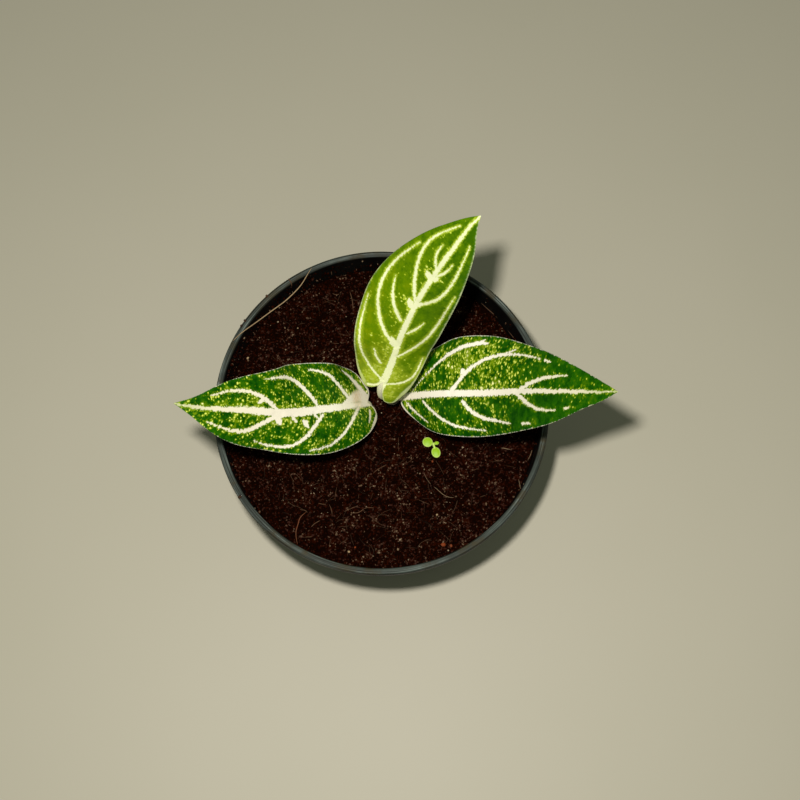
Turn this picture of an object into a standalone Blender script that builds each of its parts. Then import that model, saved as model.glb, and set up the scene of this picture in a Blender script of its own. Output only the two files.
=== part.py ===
"""Potted aglaonema: a young plant with three patterned leaves in a nursery pot.

The pot stands on the XY plane with the middle of its base at the origin, +Z up.
Lengths are written in millimetres and turned to metres where a mesh is made.
"""
import math

import bmesh
import bpy
import numpy as np

MM = 0.001
GAP = 0.3

# Pot
RIM_RADIUS = 60.0
POT_HEIGHT = 101.0
LIP_WIDTH = 2.4
LIP_DEPTH = 3.0
LIP_OVERHANG = 1.0
LIP_STEPS = 4
COLLAR_DEPTH = 13.0
COLLAR_STEP = 1.0
COLLAR_TAPER = 0.4
WALL = 1.1
WALL_SLOPE = 0.142
FOOT_WIDTH = 3.6
FOOT_HEIGHT = 2.0
FOOT_CORNER = 0.8
PAD_RADIUS = 15.0
FLOOR = 1.3
FLOOR_CORNER = 1.5
DRAIN_RADIUS = 4.0
DRAIN_COUNT = 6
DRAIN_CIRCLE = 27.0
DRAIN_STEPS = 20
POT_STEPS = 84

# Soil. Its top is a sum of waves, each a height, a length, a heading in degrees and a start.
SOIL_LEVEL = 89.0
SOIL_WAVES = (
    (0.34, 34.0, 20.0, 0.4),
    (0.30, 27.0, 115.0, 2.0),
    (0.24, 18.0, 65.0, 1.1),
    (0.20, 15.0, 160.0, 3.0),
    (0.16, 12.5, 100.0, 4.1),
)
SOIL_RINGS = 15
SOIL_STEPS = 60

# Short stem that carries two of the leaves. The bud at its top is given as shares of the
# stem's radius and depths below the tip, the leaf scars as heights above the soil.
STEM_PLACE = (3.4, 7.2)
STEM_RADIUS = 3.0
STEM_BURIED = 17.0
STEM_TOP = 9.5
STEM_BUD = ((0.0, 0.0), (0.3, 0.3), (0.6, 1.4), (0.87, 3.0))
STEM_SCARS = (4.6, 1.8)
SCAR_HEIGHT = 0.6
SCAR_RISE = 0.35
STEM_FOOT = ((1.0, 4.0), (0.73, 1.0), (0.0, 0.0))
STEM_STEPS = 24

# Blades, and the keel that carries each petiole on under its midrib
BLADE_THICKNESS = 0.9
KEEL_RISE = 0.25
KEEL_SHARE = 0.86
KEEL_TAPER = 0.72
KEEL_POINTS = 12
PETIOLE_POINTS = 9
HALF_PHASE = 2.1
RIB_SPREAD = 1.9
VALLEY = 2.0
BLADE_ROWS = 22
BLADE_COLUMNS = (0.0, 0.16, 0.36, 0.56, 0.74, 0.88, 1.0)

# Each leaf: the petiole from its foot to the blade's base, the midrib from there to the tip,
# and the blade's two edges as (along the midrib, across it) from the notch round the lobe
# to the tip. roll is the blade's bank in degrees at its base and tip; rise is the slope of
# the halves up from the midrib; droop is how far they fall again at half_width; wave is the
# height, number and start of the waves along the edge.
LEAVES = {
    "leaf_left": {
        "petiole": ((-6.2, 2.6, 78.0), (-6.0, 2.3, 84.0), (-5.7, 1.8, 92.0), (-5.2, 0.9, 99.5)),
        "petiole_radius": (2.0, 1.6),
        "midrib": ((-5.3, -0.2, 106.0), (-12.6, -6.1, 123.0), (-22.0, -11.5, 137.0),
                   (-31.1, -15.2, 147.0), (-40.1, -16.7, 154.5), (-49.0, -18.2, 161.0),
                   (-57.6, -19.1, 166.5), (-62.5, -18.9, 169.0)),
        "right_edge": ((-1.2, 0.8), (-3.0, 2.2), (-3.5, 4.8), (-0.3, 7.7), (3.7, 11.0),
                       (11.1, 13.6), (26.0, 15.2), (40.0, 15.8), (51.5, 14.9), (62.0, 12.1),
                       (75.0, 7.7), (83.5, 3.2)),
        "left_edge": ((-1.2, 0.45), (-5.0, 2.2), (-5.7, 4.8), (-2.1, 6.8), (4.3, 9.3),
                      (13.1, 11.9), (22.0, 13.9), (35.5, 14.5), (45.4, 13.6), (55.5, 12.4),
                      (68.0, 11.0), (77.5, 7.2), (84.0, 2.8)),
        "roll": (-30.0, -18.0),
        "rise": 0.25, "droop": 4.0, "half_width": 15.0,
        "wave": (0.8, 2.6, 0.1),
    },
    "leaf_right": {
        "petiole": ((4.6, 7.2, 89.5), (6.2, 6.5, 93.0), (7.5, 5.4, 97.0)),
        "petiole_radius": (1.8, 1.6),
        "midrib": ((8.6, 4.2, 101.0), (14.9, 2.1, 111.5), (24.7, -1.3, 126.0),
                   (34.6, -4.6, 139.0), (44.0, -7.3, 151.0), (57.1, -11.8, 168.0),
                   (65.4, -14.6, 178.0), (70.6, -16.0, 184.0)),
        "left_edge": ((-1.2, 0.8), (-3.0, 2.6), (-3.0, 5.4), (0.5, 9.0), (8.0, 12.4),
                      (18.5, 15.6), (28.0, 18.4), (38.0, 19.3), (50.0, 18.6), (61.0, 16.1),
                      (75.5, 12.1), (90.0, 6.9), (101.5, 2.1)),
        "right_edge": ((-1.2, 0.5), (-4.0, 2.2), (-2.2, 4.1), (2.4, 7.1), (8.2, 10.2),
                       (16.8, 12.8), (25.0, 14.0), (38.0, 14.6), (51.0, 14.0), (69.0, 12.4),
                       (83.5, 9.3), (94.7, 4.9), (101.0, 2.5)),
        "roll": (36.0, 6.0),
        "rise": 0.25, "droop": 4.0, "half_width": 15.0,
        "wave": (0.9, 2.4, 0.4),
    },
    "leaf_top": {
        "petiole": ((3.2, 6.8, 95.0), (2.2, 5.2, 99.5), (0.6, 3.2, 105.5), (-0.1, 2.3, 113.0)),
        "petiole_radius": (1.7, 1.4),
        "midrib": ((0.7, 2.7, 125.0), (3.5, 6.4, 136.0), (6.1, 10.6, 149.0),
                   (8.6, 13.8, 158.0), (11.5, 17.3, 167.0), (15.1, 20.5, 176.0),
                   (19.0, 23.6, 185.0), (22.9, 26.7, 193.0), (26.6, 29.7, 199.5),
                   (28.7, 31.0, 202.0)),
        "left_edge": ((-1.6, 0.6), (-4.2, 2.0), (-5.0, 4.2), (-1.8, 7.5), (2.1, 9.8),
                      (11.1, 12.7), (26.5, 15.5), (38.0, 16.3), (54.0, 14.1), (67.7, 9.9),
                      (75.5, 6.6), (82.9, 2.3)),
        "right_edge": ((-1.6, 0.3), (-8.6, 1.9), (-11.3, 3.6), (-11.3, 5.6), (-7.9, 7.7),
                       (-2.9, 9.2), (6.5, 10.1), (16.5, 10.9), (30.3, 11.6), (42.4, 12.0),
                       (55.4, 11.3), (64.5, 9.5), (74.0, 6.9), (82.0, 3.2)),
        "roll": (30.0, 5.0),
        "rise": 0.2, "droop": 4.0, "half_width": 14.0,
        "wave": (0.7, 2.2, 0.7),
    },
}

# Seedling beside the plant. Each seed leaf has its middle from the seedling's foot, its half
# length, its half width and its heading in degrees; each stalk is thinner at the leaf.
SEEDLING_PLACE = (19.0, -10.6)
SEEDLING_STEM = 0.5
SEEDLING_HEIGHTS = (-6.0, -2.0, 0.5, 2.2)
SEED_LEAVES = (
    ((-2.1, 0.5, 2.8), 2.0, 1.95, 165.0),
    ((1.0, -3.2, 2.6), 2.15, 1.75, -72.0),
    ((1.15, 0.2, 2.9), 0.95, 0.7, 10.0),
)
SEED_LEAF_THICKNESS = 0.42
SEED_LEAF_DOME = 0.35
STALK_FORK = 1.6
STALK_REACH = 0.8
STALK_DROP = 0.25
STALK_RADII = (0.42, 0.34)

# sRGB colour, roughness
MATERIALS = {
    "pot": ("black polypropylene", (0.09, 0.10, 0.10), 0.45),
    "soil": ("coir and peat", (0.13, 0.07, 0.05), 0.95),
    "stem": ("green stem", (0.72, 0.76, 0.52), 0.5),
    "leaf_left": ("dark speckled leaf", (0.22, 0.45, 0.07), 0.38),
    "leaf_right": ("dark speckled leaf", (0.22, 0.45, 0.07), 0.38),
    "leaf_top": ("young lime leaf", (0.58, 0.66, 0.12), 0.38),
    "seedling": ("seedling green", (0.66, 0.82, 0.30), 0.5),
}


def linear(channel):
    """sRGB channel turned to linear light."""
    if channel <= 0.04045:
        return channel / 12.92
    return ((channel + 0.055) / 1.055) ** 2.4


def material_for(node):
    """Principled material of one node; nodes with the same label share it."""
    label, colour, roughness = MATERIALS[node]
    known = bpy.data.materials.get(label)
    if known:
        return known
    material = bpy.data.materials.new(label)
    material.use_nodes = True
    shader = material.node_tree.nodes["Principled BSDF"]
    shader.inputs["Base Color"].default_value = (*map(linear, colour), 1.0)
    shader.inputs["Roughness"].default_value = roughness
    shader.inputs["Metallic"].default_value = 0.0
    return material


def mesh_object(name, points, faces):
    """Object whose mesh has points given in millimetres."""
    mesh = bpy.data.meshes.new(name)
    mesh.from_pydata([tuple(point) for point in np.asarray(points, float) * MM], [], faces)
    mesh.update()
    thing = bpy.data.objects.new(name, mesh)
    bpy.context.collection.objects.link(thing)
    return thing


def finish(thing, sharp_degrees=40.0):
    """Smooth shading with sharp corners kept, and the node's own material."""
    thing.data.materials.clear()
    thing.data.materials.append(material_for(thing.name))
    thing.data.shade_smooth()
    thing.data.set_sharp_from_angle(angle=math.radians(sharp_degrees))
    return thing


def as_cutter(thing):
    """Marks an object that only cuts others."""
    thing.hide_render = True
    thing.display_type = "WIRE"
    return thing


def boolean(thing, other, operation):
    """Adds a Boolean modifier that joins or cuts with another object."""
    modifier = thing.modifiers.new(other.name, "BOOLEAN")
    modifier.operation = operation
    modifier.solver = "EXACT"
    modifier.object = other


def boolean_with_all(thing, collection, operation):
    """Adds one Boolean modifier that joins or cuts with every object of a collection."""
    modifier = thing.modifiers.new(collection.name, "BOOLEAN")
    modifier.operation = operation
    modifier.solver = "EXACT"
    modifier.operand_type = "COLLECTION"
    modifier.collection = collection


def move_to(thing, collection):
    """Moves an object into a collection of its own kind."""
    for holder in list(thing.users_collection):
        holder.objects.unlink(thing)
    collection.objects.link(thing)


def apply_modifiers(thing):
    """Replaces an object's mesh by its evaluated one."""
    graph = bpy.context.evaluated_depsgraph_get()
    mesh = bpy.data.meshes.new_from_object(thing.evaluated_get(graph))
    thing.modifiers.clear()
    thing.data = mesh


def turned(name, profile, steps):
    """Solid turned about Z from a profile of (radius, height) that runs down its outer side."""
    points = [(radius, 0.0, height) for radius, height in profile]
    edges = [(i, i + 1) for i in range(len(points) - 1)]
    mesh = bpy.data.meshes.new(name)
    mesh.from_pydata((np.array(points) * MM).tolist(), edges, [])
    thing = bpy.data.objects.new(name, mesh)
    bpy.context.collection.objects.link(thing)
    screw = thing.modifiers.new("turn", "SCREW")
    screw.steps = steps
    screw.render_steps = steps
    screw.use_merge_vertices = True
    screw.merge_threshold = 0.00001
    return thing


def arc(centre, radius, first_degrees, last_degrees, steps):
    """Points of a profile's rounded corner."""
    angles = np.radians(np.linspace(first_degrees, last_degrees, steps + 1))
    return [(centre[0] + radius * math.cos(a), centre[1] + radius * math.sin(a)) for a in angles]


def smooth_curve(points, places):
    """Natural cubic spline through points, read at distances along its chords.

    Past either end it runs on straight. Returns the places and the unit directions there.
    """
    points = np.asarray(points, float)
    chords = np.linalg.norm(np.diff(points, axis=0), axis=1)
    knots = np.concatenate([[0.0], np.cumsum(chords)])
    count = len(points)
    inner = np.arange(1, count - 1)
    system = np.eye(count)
    system[inner, inner - 1] = chords[:-1]
    system[inner, inner] = 2.0 * (chords[:-1] + chords[1:])
    system[inner, inner + 1] = chords[1:]
    slopes = np.diff(points, axis=0) / chords[:, None]
    turn = np.zeros_like(points)
    turn[1:-1] = 6.0 * np.diff(slopes, axis=0)
    bend = np.linalg.solve(system, turn)

    places = np.asarray(places, float)
    inside = np.clip(places, 0.0, knots[-1])
    span = np.clip(np.searchsorted(knots, places, side="right") - 1, 0, count - 2)
    chord = chords[span][..., None]
    after = (inside - knots[span])[..., None]
    before = chord - after
    first = points[span] / chord - bend[span] * chord / 6.0
    last = points[span + 1] / chord - bend[span + 1] * chord / 6.0
    spot = (bend[span] * before ** 3 + bend[span + 1] * after ** 3) / (6.0 * chord)
    spot = spot + first * before + last * after
    way = (bend[span + 1] * after ** 2 - bend[span] * before ** 2) / (2.0 * chord)
    way = way - first + last
    way = way / np.linalg.norm(way, axis=-1, keepdims=True)
    return spot + way * (places - inside)[..., None], way


def chord_length(points):
    """Length of the chords through a list of points."""
    return float(np.linalg.norm(np.diff(np.asarray(points, float), axis=0), axis=1).sum())


def blade_frame(leaf, along):
    """Middle, across direction and upward direction of a blade at distances along its midrib."""
    middle, way = smooth_curve(leaf["midrib"], along)
    across = np.cross(np.array([0.0, 0.0, 1.0]), way)
    across /= np.linalg.norm(across, axis=-1, keepdims=True)
    upward = np.cross(way, across)
    share = np.clip(along / chord_length(leaf["midrib"]), 0.0, 1.0)
    roll = np.radians(leaf["roll"][0] + (leaf["roll"][1] - leaf["roll"][0]) * share)[..., None]
    banked = across * np.cos(roll) + upward * np.sin(roll)
    return middle, banked, upward * np.cos(roll) - across * np.sin(roll)


def blade_point(leaf, along, side):
    """Point of a blade's middle surface: the halves rise from the midrib, droop and wave."""
    middle, across, upward = blade_frame(leaf, along)
    share = np.abs(side) / leaf["half_width"]
    height, waves, start = leaf["wave"]
    length = chord_length(leaf["midrib"])
    turn = 2.0 * np.pi * (waves * along / length + start) + np.where(side > 0.0, 0.0, HALF_PHASE)
    rise = leaf["rise"] * side ** 2 / (np.abs(side) + VALLEY)
    lift = rise - leaf["droop"] * share ** 2
    lift = lift + height * share ** 2 * np.sin(turn)
    return middle + across * side[..., None] + upward * lift[..., None]


def edge_curve(leaf, edge, shares):
    """Edge of one half read at shares of its length, ending at the tip."""
    tip = (chord_length(leaf["midrib"]), 0.0)
    points = [*leaf[edge], tip]
    return smooth_curve(points, shares * chord_length(points))[0]


def blade_sheet(name, leaf):
    """Middle surface of a blade: ribs fan from the midrib to both edges and close at the tip."""
    length = chord_length(leaf["midrib"])
    shares = np.arange(BLADE_ROWS) / BLADE_ROWS
    foot = length * shares ** RIB_SPREAD
    columns = np.array(BLADE_COLUMNS)
    halves = []
    for edge, sign in (("left_edge", 1.0), ("right_edge", -1.0)):
        rim = edge_curve(leaf, edge, shares)
        along = foot[:, None] + (rim[:, :1] - foot[:, None]) * columns
        side = sign * rim[:, 1:] * columns
        halves.append((along, side))
    along = np.concatenate([halves[0][0][:, :0:-1], halves[1][0]], axis=1)
    side = np.concatenate([halves[0][1][:, :0:-1], halves[1][1]], axis=1)
    points = blade_point(leaf, along, side)
    width = points.shape[1]
    corner = np.arange((BLADE_ROWS - 1) * width).reshape(BLADE_ROWS - 1, width)[:, :-1].ravel()
    faces = np.stack([corner, corner + 1, corner + width + 1, corner + width], 1).tolist()
    tip = BLADE_ROWS * width
    last = tip - width
    faces += [(last + i, last + i + 1, tip) for i in range(width - 1)]
    points = np.concatenate([points.reshape(-1, 3), [leaf["midrib"][-1]]])
    return mesh_object(name, points, faces)


def tube(name, points, radii, resolution):
    """Round rod along points, with a radius at each, as a closed mesh."""
    curve = bpy.data.curves.new(name, "CURVE")
    curve.dimensions = "3D"
    curve.bevel_depth = MM
    curve.bevel_resolution = resolution
    curve.use_fill_caps = True
    line = curve.splines.new("POLY")
    line.points.add(len(points) - 1)
    for spot, place, radius in zip(line.points, np.asarray(points) * MM, radii):
        spot.co = (*place, 1.0)
        spot.radius = radius
    guide = bpy.data.objects.new(name, curve)
    bpy.context.collection.objects.link(guide)
    graph = bpy.context.evaluated_depsgraph_get()
    mesh = bpy.data.meshes.new_from_object(guide.evaluated_get(graph))
    bpy.data.objects.remove(guide)
    welded = bmesh.new()
    welded.from_mesh(mesh)
    bmesh.ops.remove_doubles(welded, verts=welded.verts, dist=0.00001)
    bmesh.ops.recalc_face_normals(welded, faces=welded.faces)
    welded.to_mesh(mesh)
    welded.free()
    thing = bpy.data.objects.new(name, mesh)
    bpy.context.collection.objects.link(thing)
    return thing


def petiole_path(leaf, extra=0.0, with_keel=True):
    """Points and radii of the petiole and of the keel that it becomes under the midrib."""
    thick, thin = leaf["petiole_radius"]
    petiole = list(leaf["petiole"])
    length = chord_length(leaf["midrib"])
    keel_along = np.linspace(0.0, KEEL_SHARE * length, KEEL_POINTS)
    keel_radius = thin * (1.0 - KEEL_TAPER * keel_along / keel_along[-1])
    middle, _, upward = blade_frame(leaf, keel_along)
    keel = middle - upward * (keel_radius - KEEL_RISE)[:, None]
    guide = petiole + [tuple(point) for point in keel[:2]]
    reach = chord_length(petiole + [tuple(keel[0])])
    places = np.linspace(0.0, reach, PETIOLE_POINTS)
    points = smooth_curve(guide, places)[0]
    radii = thick + (thin - thick) * places / reach + extra
    if with_keel:
        points = np.concatenate([points, keel[1:]])
        radii = np.concatenate([radii, keel_radius[1:]])
    return points, radii


def build_leaf(name, leaf):
    """One leaf: blade, midrib and petiole grown as one piece."""
    blade = blade_sheet(name, leaf)
    split = bmesh.new()
    split.from_mesh(blade.data)
    bmesh.ops.triangulate(split, faces=split.faces, quad_method="SHORT_EDGE")
    split.to_mesh(blade.data)
    split.free()
    solid = blade.modifiers.new("thickness", "SOLIDIFY")
    solid.thickness = BLADE_THICKNESS * MM
    solid.offset = 0.0
    points, radii = petiole_path(leaf)
    petiole = tube(name + "_petiole", points, radii, 2)
    boolean(blade, petiole, "UNION")
    apply_modifiers(blade)
    bpy.data.objects.remove(petiole)
    return blade


def inner_radius(height):
    """Radius of the pot's inner wall: a straight body and a steeper collar."""
    collar_foot = POT_HEIGHT - COLLAR_DEPTH
    body_top = RIM_RADIUS - LIP_OVERHANG - COLLAR_STEP - WALL
    body_foot = body_top - WALL_SLOPE * collar_foot
    heights = (0.0, collar_foot, POT_HEIGHT)
    return float(np.interp(height, heights, (body_foot, body_top, RIM_RADIUS - LIP_WIDTH)))


def build_pot():
    """Thin-walled pot: rolled lip, collar, foot ring, flat pad mid-base and drain holes."""
    collar_foot = POT_HEIGHT - COLLAR_DEPTH
    collar = RIM_RADIUS - LIP_OVERHANG
    foot = inner_radius(0.0) + WALL
    floor_top = FOOT_HEIGHT + FLOOR
    lip_round = LIP_WIDTH / 2.0
    lip_middle = (RIM_RADIUS - lip_round, POT_HEIGHT - lip_round)
    profile = [
        *arc(lip_middle, lip_round, 90.0, 0.0, LIP_STEPS),
        (RIM_RADIUS, POT_HEIGHT - LIP_DEPTH),
        (collar, POT_HEIGHT - LIP_DEPTH - LIP_OVERHANG / 2.0),
        (collar - COLLAR_TAPER, collar_foot + COLLAR_STEP),
        (inner_radius(collar_foot) + WALL, collar_foot),
        (foot + FOOT_CORNER / 2.0, FOOT_CORNER),
        (foot, 0.0),
        (foot - FOOT_WIDTH, 0.0),
        (foot - FOOT_WIDTH, FOOT_HEIGHT),
        (PAD_RADIUS, FOOT_HEIGHT),
        (PAD_RADIUS, 0.0),
        (0.0, 0.0),
        (0.0, floor_top),
        (inner_radius(floor_top) - FLOOR_CORNER, floor_top),
        (inner_radius(floor_top + FLOOR_CORNER), floor_top + FLOOR_CORNER),
        (inner_radius(collar_foot), collar_foot),
        *arc(lip_middle, lip_round, 180.0, 90.0, LIP_STEPS),
    ]
    pot = turned("pot", profile, POT_STEPS)
    drains = bpy.data.collections.new("drain_cutters")
    bpy.context.scene.collection.children.link(drains)
    for i in range(DRAIN_COUNT):
        turn = 2.0 * math.pi * i / DRAIN_COUNT
        x, y = DRAIN_CIRCLE * math.cos(turn), DRAIN_CIRCLE * math.sin(turn)
        bpy.ops.mesh.primitive_cylinder_add(
            vertices=DRAIN_STEPS, radius=DRAIN_RADIUS * MM, depth=4.0 * FLOOR * MM,
            location=(x * MM, y * MM, (FOOT_HEIGHT + FLOOR / 2.0) * MM))
        drain = as_cutter(bpy.context.object)
        drain.name = "drain_cutter"
        move_to(drain, drains)
    boolean_with_all(pot, drains, "DIFFERENCE")
    return finish(pot)


def soil_height(x, y):
    """Lumpy top of the soil, as a sum of crossed waves."""
    level = np.full(np.shape(x), SOIL_LEVEL)
    for height, length, heading, start in SOIL_WAVES:
        turn = math.radians(heading)
        reach = x * math.cos(turn) + y * math.sin(turn)
        level = level + height * np.sin(2.0 * math.pi * reach / length + start)
    return level


def build_soil(holes):
    """Soil that fills the pot, with a lumpy top and a plain hole for each stem."""
    turns = 2.0 * np.pi * np.arange(SOIL_STEPS) / SOIL_STEPS
    level = np.ones(SOIL_STEPS)
    foot = FOOT_HEIGHT + FLOOR + GAP
    shoulder = foot + FLOOR_CORNER
    widest = inner_radius(SOIL_LEVEL) - GAP
    rings = []
    for radius in widest * np.arange(1, SOIL_RINGS) / SOIL_RINGS:
        x, y = radius * np.cos(turns), radius * np.sin(turns)
        rings.append(np.stack([x, y, soil_height(x, y)], axis=-1))
    sides = (
        (widest, SOIL_LEVEL),
        (inner_radius(POT_HEIGHT - COLLAR_DEPTH) - GAP, POT_HEIGHT - COLLAR_DEPTH),
        (inner_radius(shoulder) - GAP, shoulder),
        (inner_radius(foot) - FLOOR_CORNER - GAP, foot),
    )
    for radius, height in sides:
        ring = (radius * np.cos(turns), radius * np.sin(turns), height * level)
        rings.append(np.stack(ring, axis=-1))
    top = len(rings) * SOIL_STEPS
    points = [*np.concatenate(rings), (0.0, 0.0, float(soil_height(0.0, 0.0))), (0.0, 0.0, foot)]
    faces = []
    for i in range(SOIL_STEPS):
        j = (i + 1) % SOIL_STEPS
        faces.append((top, i, j))
        for row in range(len(rings) - 1):
            low, high = row * SOIL_STEPS, (row + 1) * SOIL_STEPS
            faces.append((low + i, high + i, high + j, low + j))
        faces.append((top + 1, top - SOIL_STEPS + j, top - SOIL_STEPS + i))
    soil = mesh_object("soil", points, faces)
    for hole in holes:
        boolean(soil, hole, "DIFFERENCE")
    return finish(soil)


def build_stem(name, extra=0.0):
    """Short stem with leaf scars and a bud, or with extra its clearance as a cutter."""
    foot = SOIL_LEVEL - STEM_BURIED
    top = SOIL_LEVEL + STEM_TOP
    profile = [(STEM_RADIUS * share, top - depth) for share, depth in STEM_BUD]
    for scar in STEM_SCARS:
        height = SOIL_LEVEL + scar
        profile += [(STEM_RADIUS, height + SCAR_HEIGHT), (STEM_RADIUS + SCAR_RISE, height),
                    (STEM_RADIUS, height - SCAR_HEIGHT)]
    profile += [(STEM_RADIUS * share, foot + height) for share, height in STEM_FOOT]
    profile = [(radius + extra if radius else 0.0, height) for radius, height in profile]
    profile[0] = (0.0, top + extra)
    profile[-1] = (0.0, foot - extra)
    stem = turned(name, profile, STEM_STEPS)
    stem.location = (STEM_PLACE[0] * MM, STEM_PLACE[1] * MM, 0.0)
    return stem


def seed_leaf(middle, half_length, half_width, heading):
    """Small domed oval blade of the seedling."""
    bpy.ops.mesh.primitive_uv_sphere_add(segments=14, ring_count=7, radius=1.0)
    leaf = bpy.context.object
    places = np.array([vertex.co for vertex in leaf.data.vertices])
    dome = SEED_LEAF_DOME * (places[:, 0] ** 2 + places[:, 1] ** 2)
    x = places[:, 0] * half_length
    y = places[:, 1] * half_width
    turn = math.radians(heading)
    points = np.stack([x * math.cos(turn) - y * math.sin(turn),
                       x * math.sin(turn) + y * math.cos(turn),
                       places[:, 2] * SEED_LEAF_THICKNESS - dome], axis=-1)
    points = points + np.array(middle) + np.array([*SEEDLING_PLACE, SOIL_LEVEL])
    leaf.data.vertices.foreach_set("co", (points * MM).ravel())
    leaf.data.update()
    return leaf


def seedling_stem(name, extra=0.0):
    """Upright stem of the seedling, or with extra its clearance."""
    points = [(*SEEDLING_PLACE, SOIL_LEVEL + height) for height in SEEDLING_HEIGHTS]
    points[0] = (*SEEDLING_PLACE, SOIL_LEVEL + SEEDLING_HEIGHTS[0] - extra)
    return tube(name, points, [SEEDLING_STEM + extra] * len(points), 2)


def build_seedling():
    """Seedling: a thin stem, stalks and three small leaves joined into one piece."""
    seedling = seedling_stem("seedling")
    pieces = bpy.data.collections.new("seedling_pieces")
    bpy.context.scene.collection.children.link(pieces)
    foot = np.array([*SEEDLING_PLACE, SOIL_LEVEL])
    for middle, half_length, half_width, heading in SEED_LEAVES:
        move_to(seed_leaf(middle, half_length, half_width, heading), pieces)
        tip = np.array([STALK_REACH * middle[0], STALK_REACH * middle[1], middle[2] - STALK_DROP])
        ends = [foot + np.array([0.0, 0.0, STALK_FORK]), foot + tip]
        move_to(tube("seed_stalk", ends, STALK_RADII, 1), pieces)
    boolean_with_all(seedling, pieces, "UNION")
    apply_modifiers(seedling)
    for thing in list(pieces.objects):
        bpy.data.objects.remove(thing)
    bpy.data.collections.remove(pieces)
    return finish(seedling)


def main():
    """Builds every piece of the potted plant."""
    for thing in list(bpy.data.objects):
        bpy.data.objects.remove(thing)
    build_pot()
    finish(build_stem("stem"))
    stem_space = as_cutter(build_stem("stem_space", GAP))
    finish(build_leaf("leaf_left", LEAVES["leaf_left"]))
    for name in ("leaf_right", "leaf_top"):
        leaf = build_leaf(name, LEAVES[name])
        boolean(leaf, stem_space, "DIFFERENCE")
        finish(leaf)
    points, radii = petiole_path(LEAVES["leaf_left"], GAP, with_keel=False)
    points[0, 2] -= GAP
    petiole_space = as_cutter(tube("petiole_space", points, radii, 2))
    seedling_space = as_cutter(seedling_stem("seedling_space", GAP))
    build_seedling()
    build_soil((stem_space, petiole_space, seedling_space))


main()
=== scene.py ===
"""Potted aglaonema: the looks of a young plant with three patterned leaves in a nursery pot.

Lengths are written in millimetres and turned to metres where a mesh is made. The pot stands on
the XY plane with the middle of its base at the origin, +Z up.
"""
import functools
import math

import bpy
import numpy as np
from mathutils import Matrix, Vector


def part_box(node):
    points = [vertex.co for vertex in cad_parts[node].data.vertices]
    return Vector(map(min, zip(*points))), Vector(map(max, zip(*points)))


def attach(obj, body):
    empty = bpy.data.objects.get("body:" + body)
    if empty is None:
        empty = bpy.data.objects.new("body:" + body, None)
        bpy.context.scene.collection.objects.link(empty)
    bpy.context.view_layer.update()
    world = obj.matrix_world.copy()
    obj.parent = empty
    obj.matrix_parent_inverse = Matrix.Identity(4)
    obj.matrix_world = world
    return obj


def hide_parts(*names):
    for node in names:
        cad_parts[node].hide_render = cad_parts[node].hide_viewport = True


bl_info = {
    "name": "Potted aglaonema",
    "version": (1, 0, 0),
    "blender": (4, 5, 0),
    "location": "View3D > Sidebar > Aglaonema",
    "description": "Leaves, stem, seedling, soil and pot of a young aglaonema",
    "category": "Object",
}

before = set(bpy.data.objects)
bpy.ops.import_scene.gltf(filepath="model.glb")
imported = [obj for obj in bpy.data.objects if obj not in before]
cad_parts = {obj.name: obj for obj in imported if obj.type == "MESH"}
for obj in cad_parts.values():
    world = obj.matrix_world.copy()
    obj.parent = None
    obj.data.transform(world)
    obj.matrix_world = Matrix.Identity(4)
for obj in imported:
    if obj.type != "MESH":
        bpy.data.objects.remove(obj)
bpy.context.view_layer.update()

MM = 0.001
GAP = 0.3
RIM_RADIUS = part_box("pot")[1].x / MM
POT_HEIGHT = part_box("pot")[1].z / MM

# Pot
LIP_WIDTH = 2.4
LIP_DEPTH = 3.0
LIP_OVERHANG = 1.0
LIP_STEPS = 60
LIP_RINGS = 16.0
COLLAR_DEPTH = 13.0
COLLAR_STEP = 1.0
COLLAR_TAPER = 0.4
WALL = 1.1
WALL_SLOPE = 0.142
FOOT_WIDTH = 3.6
FOOT_HEIGHT = 2.0
FOOT_CORNER = 0.8
PAD_RADIUS = 15.0
EDGE_EASE = 0.3
FLOOR = 1.3
FLOOR_CORNER = 1.5
DRAIN_RADIUS = 4.0
DRAIN_COUNT = 6
DRAIN_CIRCLE = 27.0
DRAIN_STEPS = 40
SHARP_ANGLE = 35.0

# Soil. Its top is a sum of waves, each a height, a length, a heading in degrees and a start.
SOIL_LEVEL = 89.0
SOIL_WAVES = (
    (0.34, 34, 20, 0.4),
    (0.30, 27, 115, 2),
    (0.24, 18, 65, 1.1),
    (0.20, 15, 160, 3),
    (0.16, 12.5, 100, 4.1),
)
# Swells between the clods, and the share of the way to the wall where all of it starts to fade
SWELL_HEIGHT = 1.5
SWELL_SIZE = 9.0
SOIL_FADE = 0.965
# Clods and grains: size, seed, height, share of the tone, and how far they are shifted about
SOIL_GRAINS = (
    (4.6, 3, 0.9, 0.35, 0),
    (2.1, 11, 0.75, 0.35, 0.7),
    (1.05, 29, 0.42, 0.3, 0),
)
SOIL_SIDE_TONE = 0.3

# Stem. Its bud is a share of the radius and a depth below the top, its foot a radius and a height.
STEM_PLACE = (3.4, 7.2)
STEM_RADIUS = 3.0
STEM_BURIED = 17.0
STEM_TOP = 9.5
STEM_BUD = ((0, 0), (0.3, 0.3), (0.6, 1.4), (0.87, 3))
STEM_FOOT = ((2.95, 3), (2.6, 1.8), (1.9, 0.8), (1, 0.2), (0, 0))
STEM_POINTS = 60
STEM_STEPS = 64
STEM_SCARS = (4.6, 1.8)
SCAR_HEIGHT = 0.6
SCAR_RISE = 0.35

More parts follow.
